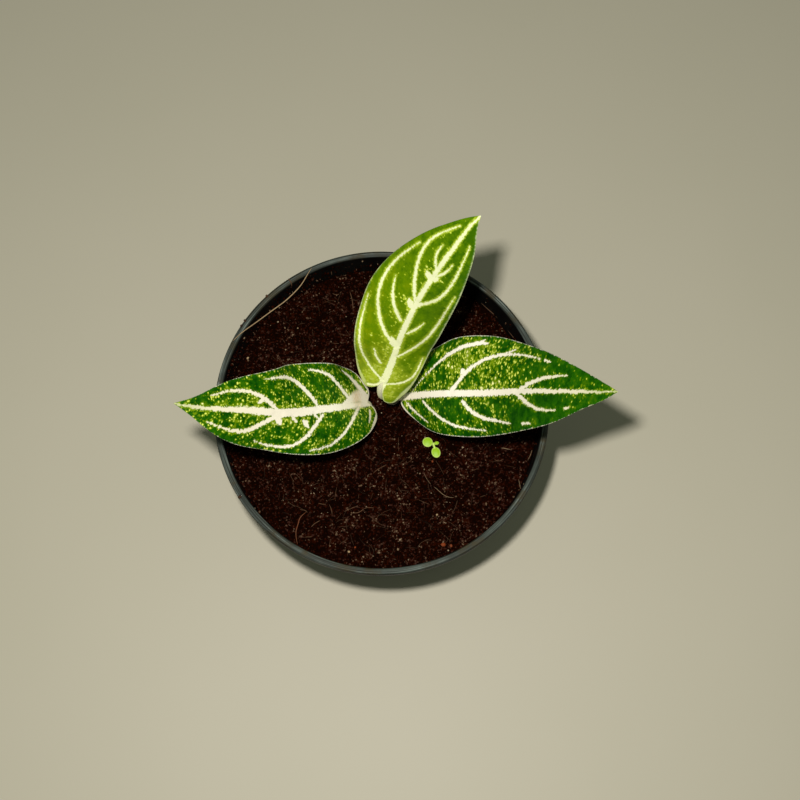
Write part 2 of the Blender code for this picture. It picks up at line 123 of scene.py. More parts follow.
# Leaves. A value of OUTSIDE stands for a place that is far from every vein.
OUTSIDE = -9.0
BLADES_APART = 200.0
EDGE_CROWDING = 1.25
VEIN_POINTS = 18
GROOVE_DEPTH = 0.12
CUSHION_HEIGHT = 0.14
PETIOLE_POINTS = 40
PETIOLE_SIDES = 28
KEEL_POINTS = 70
KEEL_END = 0.97
KEEL_RISE = 0.2
KEEL_TAPER = 0.72
HALF_PHASE = 2.1
RIB_SPREAD = 1.9
VALLEY = 2.0
LEAVES = {
    "leaf_left": {
        "petiole": ((-6.2, 2.6, 78), (-6, 2.3, 84), (-5.7, 1.8, 92), (-5.2, 0.9, 99.5)),
        "petiole_radius": (2, 1.6),
        "midrib": ((-5.3, -0.2, 106), (-12.6, -6.1, 123), (-22, -11.5, 137),
                   (-31.1, -15.2, 147), (-40.1, -16.7, 154.5), (-49, -18.2, 161),
                   (-57.6, -19.1, 166.5), (-62.5, -18.9, 169)),
        "right_edge": ((-1.2, 0.8), (-3, 2.2), (-3.5, 4.8), (-0.3, 7.7), (3.7, 11),
                       (11.1, 13.6), (26, 15.2), (40, 15.8), (51.5, 14.9), (62, 12.1),
                       (75, 7.7), (83.5, 3.2)),
        "left_edge": ((-1.2, 0.45), (-6.4, 2.6), (-6.5, 4.6), (-3.8, 7.1), (2.8, 9.8),
                      (12.3, 12.5), (22, 14.4), (35.5, 14.8), (45.4, 13.8), (55.5, 12.4),
                      (68, 11), (77.5, 7.2), (84, 2.8)),
        "roll": (-30, -18),
        "rise": 0.25, "droop": 4, "half_width": 15,
        "wave": (0.8, 2.6, 0.1),
    },
    "leaf_right": {
        "petiole": ((4.6, 7.2, 89.5), (6.2, 6.5, 93), (7.5, 5.4, 97)),
        "petiole_radius": (1.8, 1.6),
        "midrib": ((8.6, 4.2, 101), (14.9, 2.1, 111.5), (24.7, -1.3, 126),
                   (34.6, -4.6, 139), (44, -7.3, 151), (57.1, -11.8, 168),
                   (65.4, -14.6, 178), (70.6, -16, 184)),
        "left_edge": ((-1.2, 0.8), (-3, 2.6), (-3, 5.4), (0.5, 9), (8, 12.4),
                      (18.5, 15.6), (28, 18.4), (38, 19.3), (50, 18.6), (61, 16.1),
                      (75.5, 12.1), (90, 6.9), (101.5, 2.1)),
        "right_edge": ((-1.2, 0.5), (-4, 2.2), (-2.4, 4.5), (2.2, 7.7), (8, 10.8),
                       (16.6, 13.3), (25, 14.3), (38, 14.7), (51, 14), (69, 12.4),
                       (83.5, 9.3), (94.7, 4.9), (101, 2.5)),
        "roll": (36, 6),
        "rise": 0.25, "droop": 4, "half_width": 15,
        "wave": (0.9, 2.4, 0.4),
    },
    "leaf_top": {
        "petiole": ((3.2, 6.8, 95), (2.2, 5.2, 99.5), (0.6, 3.2, 105.5), (-0.1, 2.3, 113)),
        "petiole_radius": (1.7, 1.4),
        "midrib": ((0.7, 2.7, 125), (3.5, 6.4, 136), (6.1, 10.6, 149),
                   (8.6, 13.8, 158), (11.5, 17.3, 167), (15.1, 20.5, 176),
                   (19, 23.6, 185), (22.9, 26.7, 193), (26.6, 29.7, 199.5),
                   (28.7, 31, 202)),
        "left_edge": ((-1.6, 0.6), (-4.2, 2), (-5, 4.2), (-1.8, 7.5), (2.1, 9.8),
                      (11.1, 12.7), (26.5, 15.4), (38, 16.4), (54, 14.6), (67.7, 10.4),
                      (75.5, 7), (82.9, 2.7)),
        "right_edge": ((-1.6, 0.3), (-8.6, 1.9), (-11.3, 3.6), (-11.3, 5.6), (-7.9, 7.7),
                       (-2.9, 9.2), (6.5, 10.1), (16.5, 10.9), (30.3, 11.5), (42.4, 11.5),
                       (55.4, 10.8), (64.5, 9.3), (74, 6.9), (82, 3.2)),
        "roll": (30, 5),
        "rise": 0.2, "droop": 4, "half_width": 14,
        "wave": (0.7, 2.2, 0.7),
    },
}

# Pale side veins of each blade: how wide, and (along the midrib, across it) from the midrib
# outwards, with the left half positive. A short one beyond another's end is a loose dash.
VEINS = {
    "leaf_left": (
        (0.9, ((53.5, -0.8), (58, -3.5), (66, -6), (78, -4.1))),
        (1.05, ((35.3, -2), (39, -5.5), (46, -10.5), (60, -10.3))),
        (1.1, ((15, -2.5), (20.5, -6.2), (27, -10.8), (37, -13.5))),
        (1.6, ((0.6, -3.4), (5, -5.8), (11, -10.4), (15.5, -12.4))),
        (3.2, ((-1, -1.6), (5, -2.8), (11, -2.5), (20, -0.9))),
        (0.95, ((60.8, -2.9), (59.9, -3.7))),
        (1, ((52, 0.4), (57, 2.8), (65, 6.5), (78.5, 4.2))),
        (0.9, ((32.5, 1.8), (38, 5.3), (47, 10.4), (61, 9.6))),
        (0.9, ((8.5, 0.9), (16.7, 5.5), (26, 11), (41, 12.9))),
        (1.1, ((-0.5, 2.8), (0.8, 4.6), (3.6, 6.8))),
        (1.9, ((53.5, 1), (52, 3.9))),
        (1.5, ((42.2, 3.4), (41, 5.2))),
        (0.8, ((47, 1.6), (45.5, 3.2))),
        (0.7, ((37, 1.4), (35, 3.2))),
    ),
    "leaf_right": (
        # Painted shade: this stretch of the first upper vein is drawn thin and dim where the top
        # leaf shades it.
        (0.2, ((20, 9.2), (12, 5), (3.5, 0.8))),
        (1, ((42, 16.6), (37, 15.8), (29, 13.6), (16, 7))),
        (1, ((40, 16.2), (43.5, 16.7), (47, 16.4))),
        (0.6, ((42, 16.5), (46, 17.6))),
        (0.95, ((29.4, 0.6), (39.5, 8), (54, 12.2), (71.5, 10.3))),
        (1.3, ((28.8, 0.4), (32, 3.4))),
        (1.6, ((36.6, 7), (35.4, 7.8))),
        (0.7, ((55.5, 12.2), (59.5, 13.8))),
        (0.5, ((74, 9.8), (76.5, 9.2))),
        (0.9, ((62.5, 0.1), (72, 3.6), (84.5, 4.9))),
        (0.7, ((0.6, -2.4), (4.4, -5.1), (13.6, -9.7))),
        (0.72, ((11.5, -2.2), (18, -6.1), (29.5, -10.5), (46.5, -12.3))),
        (0.95, ((35.3, -2.7), (41, -6.4), (50, -8.8), (60.7, -10.3))),
        (0.5, ((66.8, -10.4), (71.3, -10.4))),
        (0.9, ((62, -0.6), (70, -4.6), (76, -6.1), (82, -5.9))),
        (0.5, ((86, -5.4), (88.5, -5))),
    ),
    "leaf_top": (
        (0.74, ((44, 0.4), (53.5, 4.8), (68.5, 7.2), (80, 2.4))),
        (0.78, ((22, 1.6), (32, 9.1), (45, 13.1), (65, 9.4))),
        (0.8, ((34, 2.2), (41, 7.2), (48.5, 10))),
        (0.58, ((0.8, 0.8), (9, 8.2), (23, 13.2), (36.5, 15.1))),
        (0.6, ((9.9, 3.4), (13.6, 5.6), (18, 7.2))),
        (0.55, ((61.5, 0.8), (65.7, 3), (70.5, 3.2))),
        (0.62, ((43, -0.4), (50, -4.6), (61, -6.1), (77, -3.7))),
        (0.62, ((15.5, -1.3), (22, -5.2), (37, -8.9), (57, -9.1))),
        (0.55, ((29.2, -1.6), (33.5, -3.7), (37.5, -5))),
        (0.62, ((-1, -1.2), (2.3, -5.9), (17, -9.4))),
        (0.5, ((58.5, -0.8), (63.4, -2.5), (67.5, -2.8))),
        (1.9, ((21.5, 1), (25.2, 2.8))),
        (1.6, ((41.6, 1), (44.6, 2.7))),
        (1.7, ((56.6, 0.8), (58, 2.4))),
        (1.2, ((43.5, -0.6), (45.5, -1.6))),
        (1.1, ((57, -0.8), (59, -1.6))),
        (0.9, ((-3.4, 4.6), (-3, 2.4), (-0.5, 0.6))),
    ),
}
VEIN_TAPER = ((0, 0.8), (0.2, 1), (0.6, 0.75), (0.85, 0.42), (1, 0.2))
# Half the midrib's width at shares of the blade's length
MIDRIB_PLACES = (0, 0.2, 0.5, 0.68, 0.85, 1)
MIDRIB_HALF = {
    "leaf_left": (1, 1, 1.35, 1.1, 0.65, 0.2),
    "leaf_right": (1.2, 1.1, 1.05, 0.68, 0.5, 0.15),
    "leaf_top": (1.3, 0.98, 0.8, 0.76, 0.6, 0.25),
}
# Flecks: how far they lean towards the tip, how long they are for their width, how many there
# are on the left and on the right half, how many more beside the veins, and how many fewer at
# the tip
FLECKS = {"leaf_left": (0.15, 1, 0.54, 0.56, 0.2, 0.1),
          "leaf_right": (0.1, 1.25, 0.58, 0.42, 0.2, 0.34),
          "leaf_top": (0.2, 1, 0.2, 0.08, 0.04, 0.1)}
# Patches with more flecks, or fewer where the last number is negative:
# (along the midrib, across it, radius, how much).
PATCHES = {
    "leaf_left": ((12, -3, 3.5, 0.7), (18, -2.2, 3.5, 0.6), (3, -6, 3.5, 0.4),
                  (50, 2, 4, 0.5), (43, 3.6, 3, 0.4),
                  (69, 2.5, 3.5, 0.35), (54.4, -7.8, 1, 0.6), (0, 0, 6, 0.4),
                  (62, -2.5, 4, 0.3), (58, -9, 3, -0.35), (34, -10, 3.5, -0.3),
                  (30, -4.5, 3, 0.2), (50, 6, 3, -0.3), (24, 5, 4, -0.15)),
    "leaf_right": ((38, 12, 4.5, 0.75), (31, 8.5, 4, 0.6), (46, 14.5, 3, 0.4),
                   (48, 6, 6, 0.35), (60, 7.5, 5, 0.3), (72, 7, 4, -0.2),
                   (80, 1.5, 5, -0.25), (30, -5, 4, -0.3), (66, -9, 4, -0.25),
                   (40, -9, 3.5, 0.15), (0, -3, 5, 0.3)),
    "leaf_top": ((58, 2.4, 2.8, 0.6), (43, 2.6, 2.4, 0.55), (23.5, 3, 2.8, 0.6),
                 (58, -1.6, 2.2, 0.5), (44.5, -1.6, 2.2, 0.45), (18, 1.5, 3, 0.7),
                 (38, 5, 4.5, 0.22), (1, 1, 6.5, 1.15), (-6, -3.5, 3, 0.7),
                 (8, -2, 5, 0.4)),
}
# Fleck cells, small then large: cell size in millimetres, how crowded the place must be before
# any show, how much more brings them to full size, and that size for the cell's
FLECK_SIZES = ((0.85, 0, 0.42, 0.42), (1.75, 0.38, 0.5, 0.4))
# How yellow the green is: at the base, the tip, and the gain towards the left half's edge.
# The higher base is partly the leaves' own colour and partly painted light on the shaded bases.
SHADES = {"leaf_left": (0.5, 0.4, 0), "leaf_right": (0.4, 0.45, 0.03),
          "leaf_top": (0.72, 0.1, 0.14)}
# How much wider the pale margin is round the lobes, in millimetres
MARGIN_GAIN = {"leaf_left": 1.6, "leaf_right": 0.95, "leaf_top": 1.1}
# How much narrower it gets towards the tip, on the left and the right half
MARGIN_LOSS = {"leaf_left": (0.3, 0.3), "leaf_right": (0.3, 0.3), "leaf_top": (1.3, 0.35)}
# Pinkish patch on a blade: place along the midrib and across it, and radius
BLUSHES = {"leaf_left": (8.5, -2.6, 5.5)}
NO_BLUSH = (0, 99, 1)

# Seedling
SEEDLING_PLACE = (19, -10.6)
SEEDLING_STEM = 0.5
SEEDLING_HEIGHTS = (-6, -2, 0.5, 2.2)
SEED_LEAVES = (
    ((-2.1, 0.5, 2.8), 1.9, 1.82, 165),
    ((1, -3.2, 2.6), 2.02, 1.65, -72),
    ((1.15, 0.2, 2.9), 0.9, 0.66, 10),
)
SEED_LEAF_DOME = 0.35
SEED_LEAF_HALF = 0.2
SEED_LEAF_GRID = (14, 48)
STALK_FORK = 1.6
STALK_REACH = 0.8
STALK_DROP = 0.25
STALK_RADII = (0.42, 0.34)
STALK_POINTS = 16
STALK_SIDES = 14

# Fibres that show one by one: points on the soil as (x, y), then thickness and tone.
LYING_FIBRES = (
    (((15.8, -21.3), (17.2, -23.7), (18.4, -25.3)), 0.2, 0.7),
    (((19.6, -26.1), (20.5, -26.8), (22.5, -28.6), (24.5, -29.6), (26.8, -29.8)), 0.22, 0.74),
    (((-28.4, -35.7), (-26.9, -35.8), (-25.4, -36.9)), 0.25, 0.42),
    (((-24.1, -41.9), (-22.8, -40.5), (-21, -39.3)), 0.28, 0.42),
    (((-26.8, -45.6), (-25.1, -45.6), (-23.6, -45.4)), 0.25, 0.4),
    (((-22, -33.2), (-20.9, -33.5), (-19.1, -33.5)), 0.24, 0.42),
    (((-12.5, -36.2), (-10.1, -35), (-8, -34.3)), 0.24, 0.42),
    (((-10.4, -36.7), (-6.8, -36.1), (-4.7, -34.5), (-1.8, -34.3)), 0.26, 0.44),
    (((-18, -33.4), (-17.2, -35.2), (-16.8, -37)), 0.24, 0.4),
    (((-13.3, 47.2), (-12.4, 44.4), (-11.9, 40.5)), 0.28, 0.42),
    (((-19.9, 47), (-18.3, 46.4), (-16.5, 47.5)), 0.25, 0.4),
    (((43.6, -11.2), (45.4, -11.4), (47, -11.7)), 0.28, 0.74),
    (((41.3, -15.5), (42.9, -15.9), (44.4, -15.2)), 0.25, 0.42),
    (((55, -11.4), (54.4, -13.4), (53.4, -15.3)), 0.25, 0.72),
    (((-2.6, -21.6), (-0.1, -19.7), (2, -18.6)), 0.22, 0.42),
)
# Fibres that lean on the wall or bridge the lip: points as (x, y, z), then thickness and tone.
LEANING_FIBRES = (
    (((-27.2, 52.4, 101.3), (-29, 49.5, 100.4), (-30.9, 46.6, 99), (-33.5, 43.7, 98),
      (-36.6, 40.7, 97.3), (-40.8, 37.3, 97), (-44.9, 33.6, 97.6), (-49, 29.4, 99.6),
      (-50.7, 27.5, 100.8), (-53.1, 25, 101.3), (-54.6, 23.3, 101.3)), 0.42, 0.83),
    (((-35.7, 47.9, 101.3), (-34.8, 46.9, 101), (-34.5, 45.9, 98.5)), 0.4, 0.42),
    (((-20.6, 54.7, 98.5), (-20.4, 53.9, 96), (-20.2, 52.9, 93)), 0.35, 0.42),
    (((35.7, 43.4, 93), (38.5, 41.6, 91), (41.5, 39.2, 90.2), (44.6, 35.9, 90),
      (46.8, 32.7, 90.4), (48.8, 29.5, 91.5), (50.6, 25.6, 93.5)), 0.3, 0.42),
    (((-26.1, -36.7, 90), (-28.2, -39.1, 90.6), (-28.7, -41.3, 91.2), (-29.1, -43.2, 92),
      (-29, -46.1, 94), (-28.2, -49.3, 97)), 0.32, 0.64),
    (((50, -22.5, 90), (50.2, -24.4, 91.5), (50.4, -26.9, 94), (50.8, -29.2, 98)),
     0.3, 0.72),
)
# Grains and chips that show one by one: x, y, size and tone.
CHIPS = (
    (23.2, -47.3, 2.2, 0.56), (25.9, -47.6, 1.5, 0.54), (25, -49.3, 0.9, 1),
    (-10.3, -50.4, 1.2, 0.85), (-8.2, -48.7, 0.9, 0.6), (7.1, -49.1, 1.1, 0.75),
    (-50.2, 20.6, 1.3, 0.85), (18.8, -16.9, 1, 0.56), (-39.7, 35, 1.1, 0.9),
    (-37, 32.7, 0.9, 0.72), (-32.2, 32.6, 0.8, 0.8), (20.8, -36.3, 0.8, 0.85),
)
# Crumbs that lie on the lip: the angle round the pot in degrees, size and tone.
LIP_CRUMBS = ((148.3, 1.7, 0.2), (150.5, 1.6, 0.15), (214.8, 1.5, 0.2), (136.5, 1.5, 0.3))
LIP_CRUMB_INSET = 0.5
# Sizes and tones of crumbs: the least, the span above it, and the power that makes the large
# rare. Crumbs with a tone above PALE_TONE are no larger than PALE_SIZE.
CRUMB_SIZES = (0.28, 1.1, 5)
CRUMB_TONES = (0, 1.5, 2.3)
PALE_TONE = 0.8
PALE_SIZE = 0.5
CRUMB_INSET = 1.2
CRUMB_LIFT = 0.15
WALL_CRUMB_SIZES = (0.4, 1.3, 3)
WALL_CRUMB_TONES = (0, 1.1, 2)
WALL_CRUMB_TOP = 2.0
WALL_CRUMB_POWER = 1.4
# How far the corners of a lump lie from its middle, and how long it is each way, for its size
LUMP_CORNERS = (0.75, 1.2)
LUMP_LENGTHS = (0.6, 1.15)
LITTER_SEED = 12
# Crumbs that cling to the inner wall: the angle where most are, how far they spread from it,
# and the share that lies anywhere
WALL_CRUMBS = (150, 32, 0.2)
# Short fibres, then the number of points and sides of a long one
FIBRE_POINTS = 8
FIBRE_LENGTHS = (1.5, 7)
FIBRE_THICKNESSES = (0.1, 0.2)
FIBRE_TONES = (0.05, 0.42)
FIBRE_BOW = 0.25
FIBRE_INSET = 4.5
LONG_FIBRE_POINTS = 28
LONG_FIBRE_SIDES = 6

# Stage: half the floor's side, and where the lamp is and its colour
FLOOR_HALF = 1500
LAMP_PLACE = (-12.8, -94.4, 546)
LAMP_COLOUR = (1, 0.96, 0.9)
# Camera: where it stands, how far it leans from straight down and turns, in degrees
CAMERA_PLACE = (6.5, -124.7, 559.6)
CAMERA_LEAN = 15.54
CAMERA_TURN = 1.46
CAMERA_LENS = 59.8


def linear(hex_colour):
    """sRGB hex colour turned to linear RGBA."""
    channels = [int(hex_colour[i:i + 2], 16) / 255.0 for i in (0, 2, 4)]
    low = [c / 12.92 if c <= 0.04045 else ((c + 0.055) / 1.055) ** 2.4 for c in channels]
    return (*low, 1.0)


def tint(name, description, hex_colour):
    """Property that holds one colour."""
    return bpy.props.FloatVectorProperty(
        name=name, description=description, subtype="COLOR", size=4, min=0.0, max=1.0,
        default=linear(hex_colour))


def amount(name, description, default, least, most):
    """Property that holds a whole number."""
    return bpy.props.IntProperty(
        name=name, description=description, default=default, min=least, max=most)


def distance(name, description, default, least, most):
    """Property that holds a length, given in millimetres."""
    return bpy.props.FloatProperty(
        name=name, description=description, unit="LENGTH", default=default * MM,
        min=least * MM, max=most * MM)


# Curves and grids

def smooth_curve(points, places):
    """Natural cubic spline through points, read at distances along its chords.

    Past either end it runs on straight. Returns the places and the unit directions there.
    """
    points = np.asarray(points, float)
    chords = np.linalg.norm(np.diff(points, axis=0), axis=1)
    knots = np.concatenate([[0.0], np.cumsum(chords)])
    count = len(points)
    inner = np.arange(1, count - 1)
    system = np.eye(count)
    system[inner, inner - 1] = chords[:-1]
    system[inner, inner] = 2.0 * (chords[:-1] + chords[1:])
    system[inner, inner + 1] = chords[1:]
    slopes = np.diff(points, axis=0) / chords[:, None]
    turn = np.zeros_like(points)
    turn[1:-1] = 6.0 * np.diff(slopes, axis=0)
    bend = np.linalg.solve(system, turn)

    places = np.asarray(places, float)
    inside = np.clip(places, 0.0, knots[-1])
    span = np.clip(np.searchsorted(knots, places, side="right") - 1, 0, count - 2)
    chord = chords[span][..., None]
    after = (inside - knots[span])[..., None]
    before = chord - after
    first = points[span] / chord - bend[span] * chord / 6.0
    last = points[span + 1] / chord - bend[span + 1] * chord / 6.0
    spot = (bend[span] * before ** 3 + bend[span + 1] * after ** 3) / (6.0 * chord)
    spot = spot + first * before + last * after
    way = (bend[span + 1] * after ** 2 - bend[span] * before ** 2) / (2.0 * chord)
    way = way - first + last
    way = way / np.linalg.norm(way, axis=-1, keepdims=True)
    return spot + way * (places - inside)[..., None], way


def chord_length(points):
    """Length of the chords through a list of points."""
    return float(np.linalg.norm(np.diff(np.asarray(points, float), axis=0), axis=1).sum())


def evenly(points, count):
    """A smooth curve through points, read at an even spacing."""
    return smooth_curve(points, np.linspace(0.0, chord_length(points), count))[0]


def smooth_step(low, high, value):
    """0 below low, 1 above high and a smooth S between them."""
    share = np.clip((value - low) / (high - low), 0.0, 1.0)
    return share * share * (3.0 - 2.0 * share)


def grid_quads(rows, columns, wrap_columns=False, start=0):
    """Corners of the faces between the points of a grid stored row by row."""
    index = start + np.arange(rows * columns).reshape(rows, columns)
    if wrap_columns:
        index = np.concatenate([index, index[:, :1]], axis=1)
    return np.stack([index[:-1, :-1], index[:-1, 1:], index[1:, 1:], index[1:, :-1]],
                    axis=-1).reshape(-1, 4)


def cell_random(column, row, seed):
    """A random number from 0 to 1 for each whole-number cell, the same at every run."""
    mixed = np.sin(column * 127.1 + row * 311.7 + seed * 74.7) * 43758.5453
    return mixed - np.floor(mixed)


def value_noise(x, y, size, seed):
    """Random heights at the corners of cells of one size, joined by smooth steps."""
    column, row = np.floor(x / size), np.floor(y / size)
    u, v = x / size - column, y / size - row
    u, v = u * u * (3.0 - 2.0 * u), v * v * (3.0 - 2.0 * v)
    low = cell_random(column, row, seed) * (1.0 - u) + cell_random(column + 1, row, seed) * u
    high = (cell_random(column, row + 1, seed) * (1.0 - u)
            + cell_random(column + 1, row + 1, seed) * u)
    return low * (1.0 - v) + high * v


def grains(x, y, size, seed):
    """Round grains scattered one to a cell: how high each place stands in its grain, from 0
    between grains to 1 on top, and a random tone for that grain."""
    column, row = np.floor(x / size), np.floor(y / size)
    height = np.zeros(np.shape(x))
    tone = np.zeros(np.shape(x))
    for i in (-1, 0, 1):
        for j in (-1, 0, 1):
            a, b = column + i, row + j
            middle_x = (a + 0.15 + 0.7 * cell_random(a, b, seed)) * size
            middle_y = (b + 0.15 + 0.7 * cell_random(a, b, seed + 1)) * size
            radius = size * (0.35 + 0.4 * cell_random(a, b, seed + 2))
            off = ((x - middle_x) ** 2 + (y - middle_y) ** 2) / radius ** 2
            here = np.sqrt(np.clip(1.0 - off, 0.0, 1.0)) * radius / (0.75 * size)
            higher = here > height
            height = np.where(higher, here, height)
            tone = np.where(higher, cell_random(a, b, seed + 3), tone)
    return height, tone


# Meshes

def surface(points, faces, **values):
    """One surface: points in millimetres, lists of faces, and a value for each point."""
    return {"points": np.asarray(points, float).reshape(-1, 3), "faces": list(faces),
            "values": {name: np.asarray(value, float) for name, value in values.items()}}


def add_piece(name, surfaces, finish, node=None):
    """Joins surfaces into one object at the origin that rides on the plant's one body.

    Values named plane hold two numbers a point and become the UV map, the others become
    attributes. A surface that lacks a value gets zeros.
    """
    starts = np.cumsum([0] + [len(s["points"]) for s in surfaces])
    points = np.concatenate([s["points"] for s in surfaces]) * MM
    faces = []
    for s, start in zip(surfaces, starts):
        for block in s["faces"]:
            faces += (np.asarray(block) + start).tolist()
    mesh = bpy.data.meshes.new(name)
    mesh.from_pydata(points.tolist(), [], faces)
    names = sorted({value for s in surfaces for value in s["values"]})
    for value in names:
        width = 2 if value == "plane" else 1
        whole = np.concatenate([
            s["values"].get(value, np.zeros((len(s["points"]), width))).reshape(-1, width)
            for s in surfaces])
        if value == "plane":
            corners = np.empty(len(mesh.loops), dtype=np.int32)
            mesh.loops.foreach_get("vertex_index", corners)
            layer = mesh.uv_layers.new(name="plane")
            layer.data.foreach_set("uv", whole[corners].ravel())
        else:
            layer = mesh.attributes.new(value, "FLOAT", "POINT")
            layer.data.foreach_set("value", whole.ravel())
    mesh.update()
    mesh.shade_smooth()
    mesh.materials.append(finish)
    piece = bpy.data.objects.new(name, mesh)
    bpy.context.scene.collection.objects.link(piece)
    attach(piece, "root")
    if node:
        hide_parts(node)
    return piece


def rods(paths, radii, across, sides):
    """Rods along many paths at once: rings of a radius round each path, closed at both ends.

    paths is (rods, points, 3), radii (rods, points) and across a direction at each point, from
    which each ring starts once it is squared to the path.
    """
    way = np.gradient(paths, axis=1)
    way /= np.linalg.norm(way, axis=-1, keepdims=True)
    across = across - way * (across * way).sum(-1, keepdims=True)
    across /= np.linalg.norm(across, axis=-1, keepdims=True)
    upward = np.cross(way, across)
    angles = 2.0 * np.pi * np.arange(sides) / sides
    round_ = (across[:, :, None] * np.cos(angles)[:, None]
              + upward[:, :, None] * np.sin(angles)[:, None])
    points = paths[:, :, None] + round_ * radii[:, :, None, None]
    count, length = paths.shape[:2]
    one = grid_quads(length, sides, wrap_columns=True)
    start = np.arange(count)[:, None, None] * length * sides
    quads = (one[None] + start).reshape(-1, 4)
    ring = np.arange(sides)
    ends = np.concatenate([ring[::-1][None] + start[:, 0], ring[None] + start[:, 0]
                           + (length - 1) * sides])
    return points.reshape(-1, 3), [quads, ends]


def fan(centre, ring):
    """Triangles from one point to a closed ring of points."""
    return np.stack([np.full(len(ring), centre), ring, np.roll(ring, -1)], axis=-1)


def turned_surface(profile, steps):
    """A profile of (radius, height) that starts and ends on the axis, turned about Z."""
    profile = np.asarray(profile, float)
    angles = 2.0 * np.pi * np.arange(steps) / steps
    ring = profile[1:-1]
    x = ring[:, :1] * np.cos(angles)
    y = ring[:, :1] * np.sin(angles)
    z = np.repeat(ring[:, 1:], steps, axis=1)
    points = np.stack([x, y, z], axis=-1).reshape(-1, 3)
    count = len(points)
    poles = [(0.0, 0.0, profile[0, 1]), (0.0, 0.0, profile[-1, 1])]
    around = np.arange(steps)
    quads = grid_quads(len(ring), steps, wrap_columns=True)[:, ::-1]
    return np.concatenate([points, poles]), [
        quads, fan(count, around), fan(count + 1, count - steps + around)[:, [0, 2, 1]]]


# Leaves

def blade_frame(leaf, along):
    """Middle, across direction and upward direction of a blade at distances along its midrib."""
    middle, way = smooth_curve(leaf["midrib"], along)
    across = np.cross(np.array([0.0, 0.0, 1.0]), way)
    across /= np.linalg.norm(across, axis=-1, keepdims=True)
    upward = np.cross(way, across)
    share = np.clip(along / chord_length(leaf["midrib"]), 0.0, 1.0)
    roll = np.radians(leaf["roll"][0] + (leaf["roll"][1] - leaf["roll"][0]) * share)[..., None]
    banked = across * np.cos(roll) + upward * np.sin(roll)
    return middle, banked, upward * np.cos(roll) - across * np.sin(roll)


def blade_point(leaf, along, side, lift=0.0):
    """Point of a blade: the halves rise from the midrib, droop and wave; lift adds height."""
    middle, across, upward = blade_frame(leaf, along)
    share = np.abs(side) / leaf["half_width"]
    height, waves, start = leaf["wave"]
    length = chord_length(leaf["midrib"])
    turn = 2.0 * np.pi * (waves * along / length + start) + np.where(side > 0.0, 0.0, HALF_PHASE)
    rise = leaf["rise"] * side ** 2 / (np.abs(side) + VALLEY)
    lift = lift + rise - leaf["droop"] * share ** 2
    lift = lift + height * share ** 2 * np.sin(turn)
    return middle + across * side[..., None] + upward * lift[..., None]


def edge_curve(leaf, edge, shares):
    """Edge of one half and its direction at shares of its length, ending at the tip."""
    tip = (chord_length(leaf["midrib"]), 0.0)
    points = [*leaf[edge], tip]
    return smooth_curve(points, shares * chord_length(points))


def band_depth(along, side, line, width):
    """How deep each place lies in a band round a line: half the band's width there, which
    follows VEIN_TAPER along the line, less the distance to the line."""
    places = np.stack([along.ravel(), side.ravel()], axis=-1)[:, None]
    steps = np.diff(line, axis=0)
    share = ((places - line[:-1]) * steps).sum(-1) / (steps ** 2).sum(-1)
    share = np.clip(share, 0.0, 1.0)
    off = np.linalg.norm(places - line[:-1] - steps * share[..., None], axis=-1)
    reach = (np.arange(len(steps)) + share) / len(steps)
    half = 0.5 * width * np.interp(reach, *np.transpose(VEIN_TAPER))
    return (half - off).max(axis=1).reshape(along.shape)


def blade_grid(leaf, rows, half):
    """Grid of a blade in its own plane. Its ribs leave the midrib at length * share **
    RIB_SPREAD and end on the edge at share of the edge's length, and its columns crowd towards
    the edge. Gives the places along and across the midrib, how far each is from the edge, the
    ribs' shares, and each column's share of the way from the midrib to the edge."""
    shares = np.linspace(0.0, 1.0, rows + 1)
    columns = 1.0 - (1.0 - np.linspace(0.0, 1.0, half + 1)) ** EDGE_CROWDING
    foot = chord_length(leaf["midrib"]) * shares ** RIB_SPREAD
    halves = []
    for edge, sign in (("left_edge", 1.0), ("right_edge", -1.0)):
        rim, way = edge_curve(leaf, edge, shares)
        along = foot[:, None] + (rim[:, :1] - foot[:, None]) * columns
        side = rim[:, 1:] * columns
        margin = np.abs((rim[:, :1] - along) * way[:, 1:] - (rim[:, 1:] - side) * way[:, :1])
        halves.append((along, sign * side, margin))
    joined = [np.concatenate([a[:, :0:-1], b], axis=1) for a, b in zip(*halves)]
    return (*joined, shares, np.concatenate([columns[:0:-1], columns]))


def bell(along, side, place, radius):
    """1 at a place on the blade, and a bell curve down to 0 away from it."""
    return np.exp(-((along - place[0]) ** 2 + (side - place[1]) ** 2) / radius ** 2)


